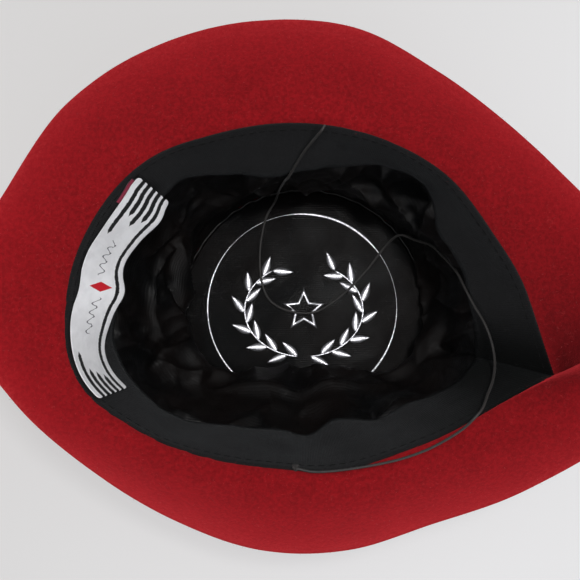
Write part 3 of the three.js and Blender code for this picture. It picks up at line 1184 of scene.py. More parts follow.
@dataclass(frozen=True)
class ElasticFinish(Finish):
    """Thin round elastic, covered in dark braided thread."""

    roughness: float = 0.55
    specular: float = 0.4
    sheen: float = 0.1
    thread: Colour = (0.034, 0.030, 0.028, 1.0)
    hollow: Colour = (0.008, 0.008, 0.008, 1.0)
    grain: float = 0.00004

    def material(self, groups: EffectGroups) -> Material:
        """The braid, by the height of its threads."""
        material, maker, shader = self.blank("braided_elastic")
        fibres = maker.group(groups.fibres, {"Vector": self.coordinates(maker), "Blotch": 120.0})
        raised = maker.attribute("braid")
        share = maker.times(raised, maker.ramp(fibres.outputs["Speck"], 0, 1, 0.6, 1.0))
        maker.feed(shader.inputs["Base Color"], maker.mix(share, self.hollow, self.thread))
        self.raise_bump(maker, shader, fibres.outputs["Height"])
        return material


@dataclass(frozen=True)
class ThreadFinish(Finish):
    """Black sewing thread."""

    roughness: float = 0.8
    specular: float = 0.12
    dark: Colour = (0.004, 0.004, 0.004, 1.0)
    light: Colour = (0.007, 0.007, 0.007, 1.0)

    def material(self, groups: EffectGroups) -> Material:
        """Twisted thread of two near blacks."""
        material, maker, shader = self.blank("black_thread")
        fibres = maker.group(groups.fibres, {"Vector": self.coordinates(maker), "Speck": 2000.0})
        maker.feed(shader.inputs["Base Color"],
                   maker.mix(fibres.outputs["Speck"], self.dark, self.light))
        return material


class Finishes:
    """Every finish of the hat, made once."""

    def __init__(self) -> None:
        """Builds the shared groups and then the materials."""
        groups = EffectGroups()
        self.felt = FeltFinish().material(groups)
        self.fuzz = FuzzFinish().material(groups)
        self.ribbon = RibbonFinish().material(groups)
        self.satin = SatinFinish().material(groups)
        # Painted shade: the tip takes a darker, less glossy copy of the side satin, for how the
        # light falls on it.
        self.shaded_tip_satin = SatinFinish(
            name="printed_satin_shaded_copy", roughness=0.2, specular=0.05, rumple=2.0, relief=0.5,
            cool=(0.0016, 0.0018, 0.0020, 1.0), warm=(0.0026, 0.0017, 0.0016, 1.0)).material(groups)
        self.foil = FoilFinish().material(groups)
        self.label = LabelFinish().material(groups)
        self.tag = TagFinish().material(groups)
        self.elastic = ElasticFinish().material(groups)
        self.thread = ThreadFinish().material(groups)


def settle(piece: Piece, material: Material, slot: Slot,
           *nodes: str) -> Piece:
    """Dresses a finished piece and hands it to the frame.

    Args:
        piece: The piece, in place.
        material: Its material.
        slot: The record's slot that the material stands for.
        nodes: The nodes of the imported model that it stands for.

    Returns:
        The piece.
    """
    if not piece.data.materials:
        piece.data.materials.append(material)
    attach(piece, BODY)
    if nodes:
        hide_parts(*nodes)
    log.info("%s: %d points, %s", piece.name, len(piece.data.vertices), slot.value)
    return piece


# ---------- things grown by Geometry Nodes ----------


class GrowthTree:
    """A Geometry Nodes tree with named inputs, whose result becomes a plain mesh."""

    def __init__(self, name: str, *numbers: str) -> None:
        """Starts a tree that takes a geometry, a material and some numbers.

        Args:
            name: The tree's name.
            numbers: The names of its numbers.
        """
        self.name = name
        self.tree = bpy.data.node_groups.new(name, "GeometryNodeTree")
        self.maker = NodeMaker(self.tree)
        self.sockets: dict[str, bpy.types.NodeTreeInterfaceSocket] = {}
        self.take("Geometry", "NodeSocketGeometry")
        self.take("Material", "NodeSocketMaterial")
        self.tree.interface.new_socket(name="Geometry", in_out="OUTPUT",
                                       socket_type="NodeSocketGeometry")
        self.given = self.maker.add("NodeGroupInput")
        self.result = self.maker.add("NodeGroupOutput")
        for number in numbers:
            self.take(number)

    def take(self, name: str, kind: str = "NodeSocketFloat") -> None:
        """Adds a named input."""
        self.sockets[name] = self.tree.interface.new_socket(name=name, in_out="INPUT",
                                                            socket_type=kind)

    def value(self, name: str) -> Socket:
        """The output that carries a named input."""
        return self.given.outputs[name]

    def spaced(self) -> Socket:
        """Points along the given bare line, at the tree's pitch."""
        line = self.maker.add("GeometryNodeMeshToCurve", {"Mesh": self.value("Geometry")})
        sockets = {"Curve": line.outputs[0], "Length": self.value("Pitch")}
        return self.maker.add("GeometryNodeResampleCurve", sockets, mode="LENGTH").outputs[0]

    def turned(self, rotation: Socket, angles: Socket) -> Socket:
        """A rotation that is turned on by three angles about its own axes."""
        turn = self.maker.add("FunctionNodeEulerToRotation", {0: angles})
        sockets = {"Rotation": rotation, "Rotate By": turn.outputs[0]}
        return self.maker.add("FunctionNodeRotateRotation", sockets,
                              rotation_space="LOCAL").outputs[0]

    def plant(self, points: Socket, piece: Socket, rotation: Socket, size: Socket) -> None:
        """Ends the tree: a piece at each point, made real, and then the material.

        Args:
            points: The points.
            piece: The piece's mesh.
            rotation: How each piece is turned.
            size: How large each piece is.
        """
        planted = self.maker.add("GeometryNodeInstanceOnPoints", {
            "Points": points, "Instance": piece, "Rotation": rotation, "Scale": size})
        real = self.maker.add("GeometryNodeRealizeInstances", {"Geometry": planted.outputs[0]})
        dressed = self.maker.add("GeometryNodeSetMaterial",
                                 {"Geometry": real.outputs[0], "Material": self.value("Material")})
        self.maker.feed(self.result.inputs[0], dressed.outputs[0])

    def grow(self, host: Piece, piece: str, **values: object) -> Piece:
        """Runs the tree on a host's mesh and keeps the result as a plain mesh.

        Args:
            host: The object whose mesh the tree starts from; it isn't changed.
            piece: The new piece's name.
            values: The tree's inputs, with _ for each space.

        Returns:
            The new object.
        """
        seed = new_object(piece + "_seed", host.data)
        grower = seed.modifiers.new(self.name, "NODES")
        grower.node_group = self.tree
        for name, value in values.items():
            grower[self.sockets[name.replace("_", " ")].identifier] = value
        evaluated = seed.evaluated_get(bpy.context.evaluated_depsgraph_get())
        mesh = bpy.data.meshes.new_from_object(evaluated)
        mesh.name = piece
        seed.modifiers.remove(grower)
        bpy.data.objects.remove(seed)
        return new_object(piece, mesh)


def fuzz_tree() -> GrowthTree:
    """Short fibres that stand out of a surface, thicker where the attribute nap is high."""
    growth = GrowthTree("standing_fibres", "Density", "Length", "Width", "Lean")
    growth.take("Seed", "NodeSocketInt")
    add = growth.maker.add
    nap = add("GeometryNodeInputNamedAttribute", {"Name": "nap"}, data_type="FLOAT")
    spread = add("GeometryNodeDistributePointsOnFaces", {
        "Mesh": growth.value("Geometry"),
        "Density": growth.maker.times(growth.value("Density"), nap.outputs[0]),
        "Seed": growth.value("Seed")})
    spike = add("GeometryNodeMeshCone", {
        "Vertices": 3, "Radius Bottom": growth.value("Width"), "Depth": growth.value("Length")},
        fill_type="TRIANGLE_FAN")
    low = growth.maker.times(growth.value("Lean"), -1.0)
    lean = add("FunctionNodeRandomValue", {
        "Min": add("ShaderNodeCombineXYZ", {0: low, 1: low}).outputs[0],
        "Max": add("ShaderNodeCombineXYZ", {0: growth.value("Lean"), 1: growth.value("Lean"),
                                            2: math.tau}).outputs[0],
        "Seed": growth.value("Seed")}, data_type="FLOAT_VECTOR")
    turned = growth.turned(spread.outputs["Rotation"], lean.outputs[0])
    size = add("FunctionNodeRandomValue", {2: 0.4, 3: 1.3, "Seed": growth.value("Seed")},
               data_type="FLOAT")
    growth.plant(spread.outputs["Points"], spike.outputs["Mesh"], turned, size.outputs[1])
    return growth


def stitch_tree() -> GrowthTree:
    """A row of stitches along the edges of a mesh that is a bare line."""
    growth = GrowthTree("running_stitches", "Pitch", "Length", "Thickness")
    add = growth.maker.add
    ahead = add("GeometryNodeInputTangent")
    facing = add("FunctionNodeAlignRotationToVector", {"Vector": ahead.outputs[0]}, axis="Z")
    bead = add("GeometryNodeMeshUVSphere", {"Segments": 6, "Rings": 5, "Radius": 0.5})
    size = add("ShaderNodeCombineXYZ", {0: growth.value("Thickness"),
                                        1: growth.value("Thickness"), 2: growth.value("Length")})
    growth.plant(growth.spaced(), bead.outputs["Mesh"], facing.outputs[0], size.outputs[0])
    return growth


def leaf_tree() -> GrowthTree:
    """Flat pointed leaves in turn on the two sides of a bare line."""
    growth = GrowthTree("laurel_leaves", "Pitch", "Length", "Width", "Splay")
    add = growth.maker.add
    maths = growth.maker.math
    times = growth.maker.times
    ahead = add("GeometryNodeInputTangent").outputs[0]
    facing = add("FunctionNodeAxesToRotation", {"Primary Axis": ahead,
                                                "Secondary Axis": (0.0, 0.0, 1.0)},
                 primary_axis="X", secondary_axis="Z")
    number = add("GeometryNodeInputIndex").outputs[0]
    side = maths("MULTIPLY_ADD", maths("MODULO", number, 2.0), 2.0, -1.0)
    splay = add("ShaderNodeCombineXYZ", {2: times(side, growth.value("Splay"))})
    turned = growth.turned(facing.outputs[0], splay.outputs[0])
    blade = add("GeometryNodeMeshGrid", {"Size X": 1.0, "Size Y": 1.0,
                                         "Vertices X": 9, "Vertices Y": 3})
    spot = add("ShaderNodeSeparateXYZ", {0: add("GeometryNodeInputPosition").outputs[0]})
    from_end = maths("ADD", spot.outputs["X"], 0.5)
    belly = maths("SINE", times(maths("POWER", from_end, 0.75), math.pi))
    shaped = add("GeometryNodeSetPosition", {
        "Geometry": blade.outputs["Mesh"],
        "Position": add("ShaderNodeCombineXYZ", {
            0: from_end, 1: times(spot.outputs["Y"], belly)}).outputs[0]})
    size = add("ShaderNodeCombineXYZ", {0: growth.value("Length"), 1: growth.value("Width"),
                                        2: 1.0})
    growth.plant(growth.spaced(), shaped.outputs[0], turned, size.outputs[0])
    return growth


def bare_line(name: str, points: Array, closed: bool = False) -> Piece:
    """A line of edges for a growth tree to start from.

    Args:
        name: The object's name.
        points: The line's points, in metres.
        closed: Whether the last point joins the first.

    Returns:
        The object, which the caller removes.
    """
    count = len(points)
    edges = [(k, (k + 1) % count) for k in range(count if closed else count - 1)]
    mesh = bpy.data.meshes.new(name)
    mesh.from_pydata([tuple(p) for p in points], edges, [])
    return new_object(name, mesh)


# ---------- the sub-assemblies ----------


@dataclass
class ElasticCord:
    """The chin elastic: out of one side seam, through the crown, over the rim and back."""

    form: HatForm
    diameter: float = 0.8
    sides: int = 12
    per_stop: int = 18
    strands: int = 6
    braid_pitch: float = 1.6
    braid_depth: float = 0.06
    knot_reach: float = 0.9
    knot_points: int = 90
    knot_sides: int = 8
    knot_thinness: float = 0.42
    knot_shift: tuple[float, float, float] = (-0.4, 0.35, -0.2)
    knot_braid: float = 0.7
    way: tuple = (
        (0.0058, 0.0522, 0.0726),
        (0.0047, 0.0505, 0.0721),
        (0.0034, 0.0493, 0.0698),
        (0.0019, 0.0483, 0.0658),
        (-0.0007, 0.0461, 0.0593),
        (-0.0032, 0.0431, 0.053),
        (-0.0054, 0.0403, 0.0475),
        (-0.0066, 0.0404, 0.04),
        (-0.0076, 0.0406, 0.03),
        (-0.0084, 0.0408, 0.02),
        (-0.009, 0.0408, 0.012),
        (-0.0102, 0.0387, 0.0061),
        (-0.0131, 0.0337, 0.0049),
        (-0.0149, 0.0265, 0.005),
        (-0.0156, 0.0193, 0.0052),
        (-0.0149, 0.01, 0.0053),
        (-0.0124, 0.0039, 0.0054),
        (-0.008, 0.0006, 0.0054),
        (-0.0017, -0.001, 0.0054),
        (0.004, -0.0007, 0.0054),
        (0.01, 0.0025, 0.0054),
        (0.016, 0.0075, 0.0054),
        (0.0225, 0.0143, 0.0053),
        (0.028, 0.0215, 0.0053),
        (0.0314, 0.025, 0.0075),
        (0.0338, 0.0256, 0.014),
        (0.0378, 0.0228, 0.023),
        (0.0426, 0.02, 0.0305),
        (0.0457, 0.0154, 0.038),
        (0.0488, 0.01, 0.0455),
        (0.0506, 0.0045, 0.0508),
        (0.0531, -0.0016, 0.0542),
        (0.056, -0.0075, 0.057),
        (0.0578, -0.0134, 0.059),
        (0.0583, -0.0195, 0.0615),
        (0.0569, -0.0251, 0.0662),
        (0.0541, -0.0296, 0.0734),
        (0.0518, -0.0338, 0.0774),
        (0.0493, -0.0366, 0.078),
        (0.0464, -0.0395, 0.0767),
        (0.0417, -0.0427, 0.0757),
        (0.0354, -0.046, 0.0747),
        (0.0272, -0.0489, 0.0734),
        (0.0172, -0.051, 0.0724),
        (0.0079, -0.0523, 0.0718),
        (0.0017, -0.0525, 0.0717),
        (-0.0028, -0.0516, 0.0715),
    )

    def line(self) -> Array:
        """The cord's middle line, in metres in the model's frame."""
        stops = np.array(self.way) + np.array([*self.form.axis, 0]) * MM
        shares = np.linspace(0, 1, (len(self.way) - 1) * self.per_stop + 1)
        return smooth_way(stops, shares, Knots.CENTRIPETAL)

    def build(self, finishes: Finishes) -> Piece:
        """Args:
            finishes: The hat's finishes.

        Returns:
            The cord.
        """
        line = self.line()
        along = lengths_along(line)
        angle = np.linspace(0, math.tau, self.sides, endpoint=False)
        lift = along[:, None] * math.tau / (self.braid_pitch * MM)
        braid = (np.abs(np.sin(self.strands / 2 * angle + lift))
                 + np.abs(np.sin(self.strands / 2 * angle - lift))) / 2
        radius = self.diameter / 2 * MM * (1 - self.braid_depth * (1 - braid))
        rings = tube(line, radius, self.sides)
        marks = np.concatenate([braid[:1], braid, braid[-1:]])
        cloth = Cloth(capped(rings), columns_close=True, marks={"braid": marks})
        cord = cloth.build("chin_elastic")
        settle(cord, finishes.elastic, Slot.ELASTIC, "elastic_cord")
        knot = self.knot(line[-1])
        settle(knot, finishes.elastic, Slot.ELASTIC)
        tuple(line[0])
        [tuple(p) for p in line]
        return cord

    def knot(self, end: Array) -> Piece:
        """The small overhand knot at the far side seam.

        Args:
            end: The cord's far end.

        Returns:
            The knot.
        """
        t = np.linspace(0, math.tau, self.knot_points, endpoint=False)
        loop = np.stack([np.sin(t) + 2 * np.sin(2 * t), np.cos(t) - 2 * np.cos(2 * t),
                         -np.sin(3 * t)], axis=-1) * (self.knot_reach / 3 * MM)
        way = loop + end + np.array(self.knot_shift) * MM
        rings = loop_tube(way, self.diameter * self.knot_thinness * MM, self.knot_sides)
        marks = {"braid": np.ones(rings.shape[:2]) * self.knot_braid}
        return Cloth(rings, rows_close=True, columns_close=True, marks=marks).build("elastic_knot")


@dataclass
class FeltHat:
    """The blocked felt body: the tip, the wall, the roll and the brim, in one piece."""

    form: HatForm
    sections: int = 400
    crease_sections: int = 36
    crease_spread: float = 9
    tip_rows: int = 10
    bend_rows: int = 8
    wall_rows: int = 26
    brim_rows: int = 30
    brim_crowding: float = 0.85
    rim_rows: int = 7
    edge_round: float = 0.7
    unevenness: float = 0.16
    wave_long: float = 34
    wave_short: float = 15
    roll_wave: float = 3.2
    roll_wave_height: float = 0.07
    press_line_turn: float = 95
    press_line_spread: float = 42
    press_line_in: float = 2.6
    press_line_depth: float = 0.4
    press_line_width: float = 0.7
    edge_light_width: float = 9
    worn_rows: float = 3
    fuzz_density: float = 8e5
    fuzz_length: float = 0.9
    fuzz_width: float = 0.03
    fuzz_lean: float = 1.25

    def turns(self) -> Array:
        """The sections' turns, closer together beside the crease."""
        even = even_turns(self.sections)
        close = self.crease_spread * np.linspace(-1, 1, self.crease_sections) ** 3
        return self.form.pinch.turn + np.unique(np.round(np.mod(np.append(even, close), 360), 4))

    def inside(self, turn: Array) -> Array:
        """The section's inner side, from the axis to the brim's edge.

        Args:
            turn: The sections' turns.

        Returns:
            Points (out, height), with the path along the first axis.
        """
        form = self.form
        tip = form.tip_reach(turn) - form.tip_round
        low = form.thickness + form.tip_round
        lip = form.lip_height(turn)
        high = lip - form.roll_round
        reach = form.opening_reach(turn)
        _, length, edge = form.brim_run(turn)
        flat = np.full_like(turn, form.thickness)
        rows = [(tip * share, flat) for share in np.linspace(0, 0.97, self.tip_rows)]
        for a in np.linspace(0, math.pi / 2, self.bend_rows):
            rows.append((tip + form.tip_round * math.sin(a),
                         flat + form.tip_round * (1 - math.cos(a))))
        for share in np.linspace(0, 1, self.wall_rows)[1:-1]:
            height = lerp(np.full_like(turn, low), high, share)
            rows.append((form.wall_reach(turn, height), height))
        for a in np.linspace(0, math.pi / 2, self.bend_rows):
            rows.append((reach + form.roll_round * (1 - math.cos(a)),
                         high + form.roll_round * math.sin(a)))
        for share in np.linspace(0, 1, self.brim_rows)[1:] ** self.brim_crowding:
            out = lerp(np.full_like(turn, form.roll_round), length, share)
            fall = lerp(lip, edge, share ** form.brim_curl)
            step = (1 - form.pinch.at_lip) * form.crease_step(turn, reach + out)
            swell = math.sin(math.pi * share) ** 2 * step
            rows.append((reach + out, fall + swell - self.press_line(turn, length - out)))
        return np.stack([np.stack(row, axis=-1) for row in rows])

    def press_line(self, turn: Array, from_edge: Array) -> Array:
        """The depth of the line that the iron left beside the brim's edge on one side.

        Args:
            turn: The sections' turns.
            from_edge: How far each section's point lies from the brim's edge.

        Returns:
            The depth at each point.
        """
        where = bump_at(np.mod(turn, 360), self.press_line_turn, self.press_line_spread)
        line = bump_at(from_edge, self.press_line_in, self.press_line_width)
        return self.press_line_depth * where * line

    def build(self, finishes: Finishes) -> list[Piece]:
        """Makes the felt and the fibres that stand out of it.

        Args:
            finishes: The hat's finishes.

        Returns:
            The felt and its fuzz.
        """
        form, turn = self.form, self.turns()
        inside = self.inside(turn)
        outside = back_of(inside, form.thickness)
        middle = (inside[-1] + outside[-1]) / 2
        rim = []
        for a in np.linspace(0, math.pi, self.rim_rows)[1:-1]:
            point = middle + (inside[-1] - middle) * math.cos(a)
            rim.append(point + np.array([self.edge_round * math.sin(a), 0]))
        path = np.concatenate([inside, rim, outside[::-1]])
        points = form.placed(turn, path)
        from_rim = np.abs(np.arange(len(path)) - len(inside) - len(rim) // 2)[:, None]
        worn = np.exp(-from_rim / self.worn_rows) * np.ones_like(turn)
        from_lip = path[..., 0] - form.opening_reach(turn)
        _, length, _ = form.brim_run(turn)
        # Painted light: a lighter band along the brim's outer edge.
        pale = np.exp((np.minimum(from_lip, length) - length) / self.edge_light_width)
        above = path[..., 1] > form.lip_height(turn) - form.roll_round - 1
        roll = bump_at(from_lip, 0.5, 2) * above
        uneven = (ripples(points / MM, self.wave_long, 5)
                  + 0.5 * ripples(points / MM, self.wave_short, 6))
        swell = self.roll_wave_height * MM * ripples(points / MM, self.roll_wave, 7) * roll
        points += swell[..., None]
        points[..., 2] += self.unevenness * MM * uneven * np.clip(points[..., 2] / MM / 20, 0, 1)
        nap = (0.3 + 0.7 * np.maximum(worn, roll)) * smooth_step(points[..., 2] / MM, 2, 6)
        # Painted shade beside the crease, carried by the mark named pressed.
        pressed = form.crease_shade(turn, path[..., 0]) * smooth_step(from_lip, -2, 4)
        marks = {"worn": worn, "nap": nap, "pale": pale, "pressed": pressed}
        felt = Cloth(points, columns_close=True, marks=marks).build("felt_hat", flip=True)
        settle(felt, finishes.felt, Slot.FELT, "felt_body")
        fuzz = fuzz_tree().grow(
            felt, "felt_fuzz", Density=self.fuzz_density, Length=self.fuzz_length * MM,
            Width=self.fuzz_width * MM, Lean=self.fuzz_lean, Seed=11, Material=finishes.fuzz)
        settle(fuzz, finishes.fuzz, Slot.FELT)
        return [felt, fuzz]


class Dent(NamedTuple):
    """A soft dent in the ribbon: its middle, its spread in degrees, its depth and its spread up."""

    turn: float
    share: float
    spread: float
    depth: float
    share_spread: float = 0.3


DENTS = (
    Dent(77, 0.6, 4, 1.6),
    Dent(86, 0.8, 3, -0.9),
    Dent(20, 0.5, 7, 1.2),
    Dent(226, 0.6, 6, 1.2),
    Dent(262, 0.7, 5, -0.8),
    Dent(318, 0.6, 8, -1.0),
    Dent(116, 0.6, 5, 1.4),
)


@dataclass
class Sweatband:
    """The grosgrain ribbon inside the opening, sewn along its top edge and loose below."""

    form: HatForm
    ribs: int = 600
    points_per_rib: int = 4
    rib_depth: float = 0.07
    rows: int = 13
    row_crowding: float = 1.25
    mean_reach: float = 62
    thickness: float = 0.6
    seam_points: int = 720
    stitch_depth: float = 2.2
    stitch_pitch: float = 3.2
    stitch_length: float = 2.2
    stitch_thickness: float = 0.35
    top_lean: float = 1.25
    lean_depth: float = 2.4
    wave_length: float = 26
    wave_height: float = 0.3
    corner_shade_up: float = 11
    corner_shade_down: float = 25
    corner_shade_strength: float = 0.9

    def surface(self, turn: Array, share: Array) -> Array:
        """The ribbon's face.

        Args:
            turn: The turns, along the second axis.
            share: The shares of its depth from its top edge, along the first axis.

        Returns:
            Points (out, height).
        """
        depth = around(HEMS, "depth", turn)[None, :] * share[:, None]
        face = self.form.band_point(turn[None, :], depth)
        plan = toward(turn)[None] * face[..., :1]
        places = np.concatenate([plan, face[..., 1:]], axis=-1)
        uneven = (ripples(places, self.wave_length, 21)
                  + 0.6 * ripples(places, self.wave_length / 2.4, 22))
        loose = np.sin(np.minimum(share * 1.4, 1) * math.pi / 2)[:, None]
        face[..., 0] -= self.wave_height * uneven * loose
        face[..., 0] += self.top_lean * np.exp(-depth / self.lean_depth)
        for dent in DENTS:
            off = turn_from(dent.turn, turn)[None, :] / dent.spread
            up = (share[:, None] - dent.share) / dent.share_spread
            face[..., 0] += dent.depth * np.exp(-off ** 2 - up ** 2)
        return face

    def build(self, finishes: Finishes) -> list[Piece]:
        """Makes the ribbon and the stitches that hold it.

        Args:
            finishes: The hat's finishes.

        Returns:
            The ribbon and its stitches.
        """
        form = self.form
        turn = even_turns(self.ribs * self.points_per_rib)
        share = np.linspace(0, 1, self.rows) ** self.row_crowding
        depth = form.band_width * share
        rib = np.cos(np.radians(self.ribs * turn))
        face = self.surface(turn, share)
        back = face + (self.thickness, 0)
        back[..., 0] -= self.rib_depth * rib
        face[..., 0] -= self.rib_depth * rib
        points = form.placed(turn, np.concatenate([face[::-1], back]))
        length = math.tau * self.mean_reach * MM
        u = np.linspace(0, length, len(turn) + 1)
        v = np.concatenate([depth[::-1], form.band_width + depth, [2 * form.band_width]]) * MM
        uv = uv_map(u, v)
        # Painted shade on both sides of the front corner.
        off = form.from_crease(turn)
        reach = np.where(off > 0, self.corner_shade_up, self.corner_shade_down)
        painted_corner_shade = self.corner_shade_strength * np.exp(-(off / reach) ** 2)
        marks = {"rib": np.broadcast_to(0.5 + 0.5 * rib, points.shape[:2]),
                 "painted_corner_shade": np.broadcast_to(painted_corner_shade, points.shape[:2])}
        ribbon = Cloth(points, rows_close=True, columns_close=True, uv=uv,
                       marks=marks).build("grosgrain_sweatband", flip=True)
        settle(ribbon, finishes.ribbon, Slot.RIBBON, "sweatband")
        seam = even_turns(self.seam_points)
        face = self.surface(seam, np.array([self.stitch_depth / form.band_width]))
        face[..., 0] -= self.rib_depth
        line = bare_line("sweatband_seam", form.placed(seam, face)[0], closed=True)
        stitches = stitch_tree().grow(
            line, "sweatband_stitches", Pitch=self.stitch_pitch * MM,
            Length=self.stitch_length * MM, Thickness=self.stitch_thickness * MM,
            Material=finishes.thread)
        bpy.data.objects.remove(line)
        settle(stitches, finishes.thread, Slot.SATIN)
        return [ribbon, stitches]


class Nose(NamedTuple):
    """The side lining's innermost line at one turn: its reach, its height and what follows.

    The climb is the share of the rise to the ribbon that the cloth has made 0.6 of the way out.
    """

    turn: float
    reach: float
    height: float
    climb: float = 0.3


NOSES = (
    Nose(0, 47, 20),
    Nose(30, 45, 22),
    Nose(60, 43, 26),
    Nose(90, 42, 24),
    Nose(120, 44, 22),
    Nose(150, 46, 22),
    Nose(180, 41, 24),
    Nose(210, 39, 17),
    Nose(240, 23.5, 14, 0.44),
    Nose(270, 20.5, 14, 0.46),
    Nose(300, 23.5, 14, 0.44),
    Nose(330, 39, 16),
)


class Fold(NamedTuple):
    """A fold of the side lining, from one place (turn, share of the way up) to another.

    It bows to its left by a length, stands out by a height and has a flank on each side.
    """

    turn: float
    share: float
    to_turn: float
    to_share: float
    bow: float
    height: float
    left: float
    right: float


FOLDS = (
    Fold(133, 0.74, 147, 0.63, 0.0, 3.2, 2.5, 2.5),
    Fold(148, 0.62, 163, 0.73, 0.8, 3.2, 2.5, 3.0),
    Fold(153, 0.57, 178, 0.43, -1.5, 4.6, 4.0, 3.5),
    Fold(156, 0.58, 171, 0.66, 1.0, 4.0, 3.0, 3.0),
    Fold(168, 0.66, 194, 0.61, 1.5, 4.4, 3.5, 6.0),
    Fold(170, 0.58, 186, 0.44, 0.0, -3.5, 1.6, 1.6),
    Fold(188, 0.88, 200, 0.68, 0.0, 5.0, 3.0, 5.0),
    Fold(200, 0.68, 214, 0.56, 0.0, 4.5, 3.5, 3.0),
    Fold(216, 0.80, 314, 0.81, 9.5, 4.0, 4.0, 3.0),
    Fold(224, 0.62, 309, 0.63, 0.0, 4.5, 4.5, 3.0),
    Fold(238, 0.86, 252, 0.70, 0.0, 2.5, 2.5, 3.5),
    Fold(292, 0.72, 300, 0.86, 0.0, 2.5, 2.5, 3.5),
    Fold(60, 0.84, 45, 0.60, 2.0, 5.0, 3.0, 2.5),
    Fold(48, 0.60, 31, 0.66, 2.0, 4.5, 3.0, 3.0),
    Fold(30, 0.64, 36, 0.86, 1.5, 4.5, 2.5, 3.0),
    Fold(43, 0.80, 40, 0.70, 0.0, -4.5, 3.5, 3.5),
    Fold(34, 0.46, 11, 0.14, 0.0, 2.4, 1.6, 3.0),
    Fold(9, 0.14, 334, 0.56, 0.0, 3.0, 2.0, 4.0),
    Fold(333, 0.60, 341, 0.86, 0.0, 4.0, 3.0, 4.0),
    Fold(351, 0.84, 345, 0.62, 0.0, 4.0, 2.2, 3.2),
    Fold(5, 0.50, 357, 0.80, 0.0, 3.8, 2.5, 3.5),
    Fold(338, 0.72, 354, 0.84, 0.0, 3.2, 2.2, 2.2),
    Fold(113, 0.62, 99, 0.40, 0.0, 3.6, 2.2, 3.0),
    Fold(122, 0.62, 106, 0.84, 0.0, 3.6, 2.5, 3.0),
    Fold(97, 0.84, 88, 0.40, 1.0, 3.8, 2.2, 3.0),
    Fold(84, 0.62, 74, 0.84, 0.0, 3.4, 2.2, 2.6),
    Fold(76, 0.78, 54, 0.50, 2.0, 4.0, 2.5, 3.2),
    Fold(68, 0.84, 78, 0.50, 0.0, 3.2, 2.0, 2.6),
    Fold(22, 0.56, 13, 0.84, 0.0, 3.2, 3.0, 3.0),
)


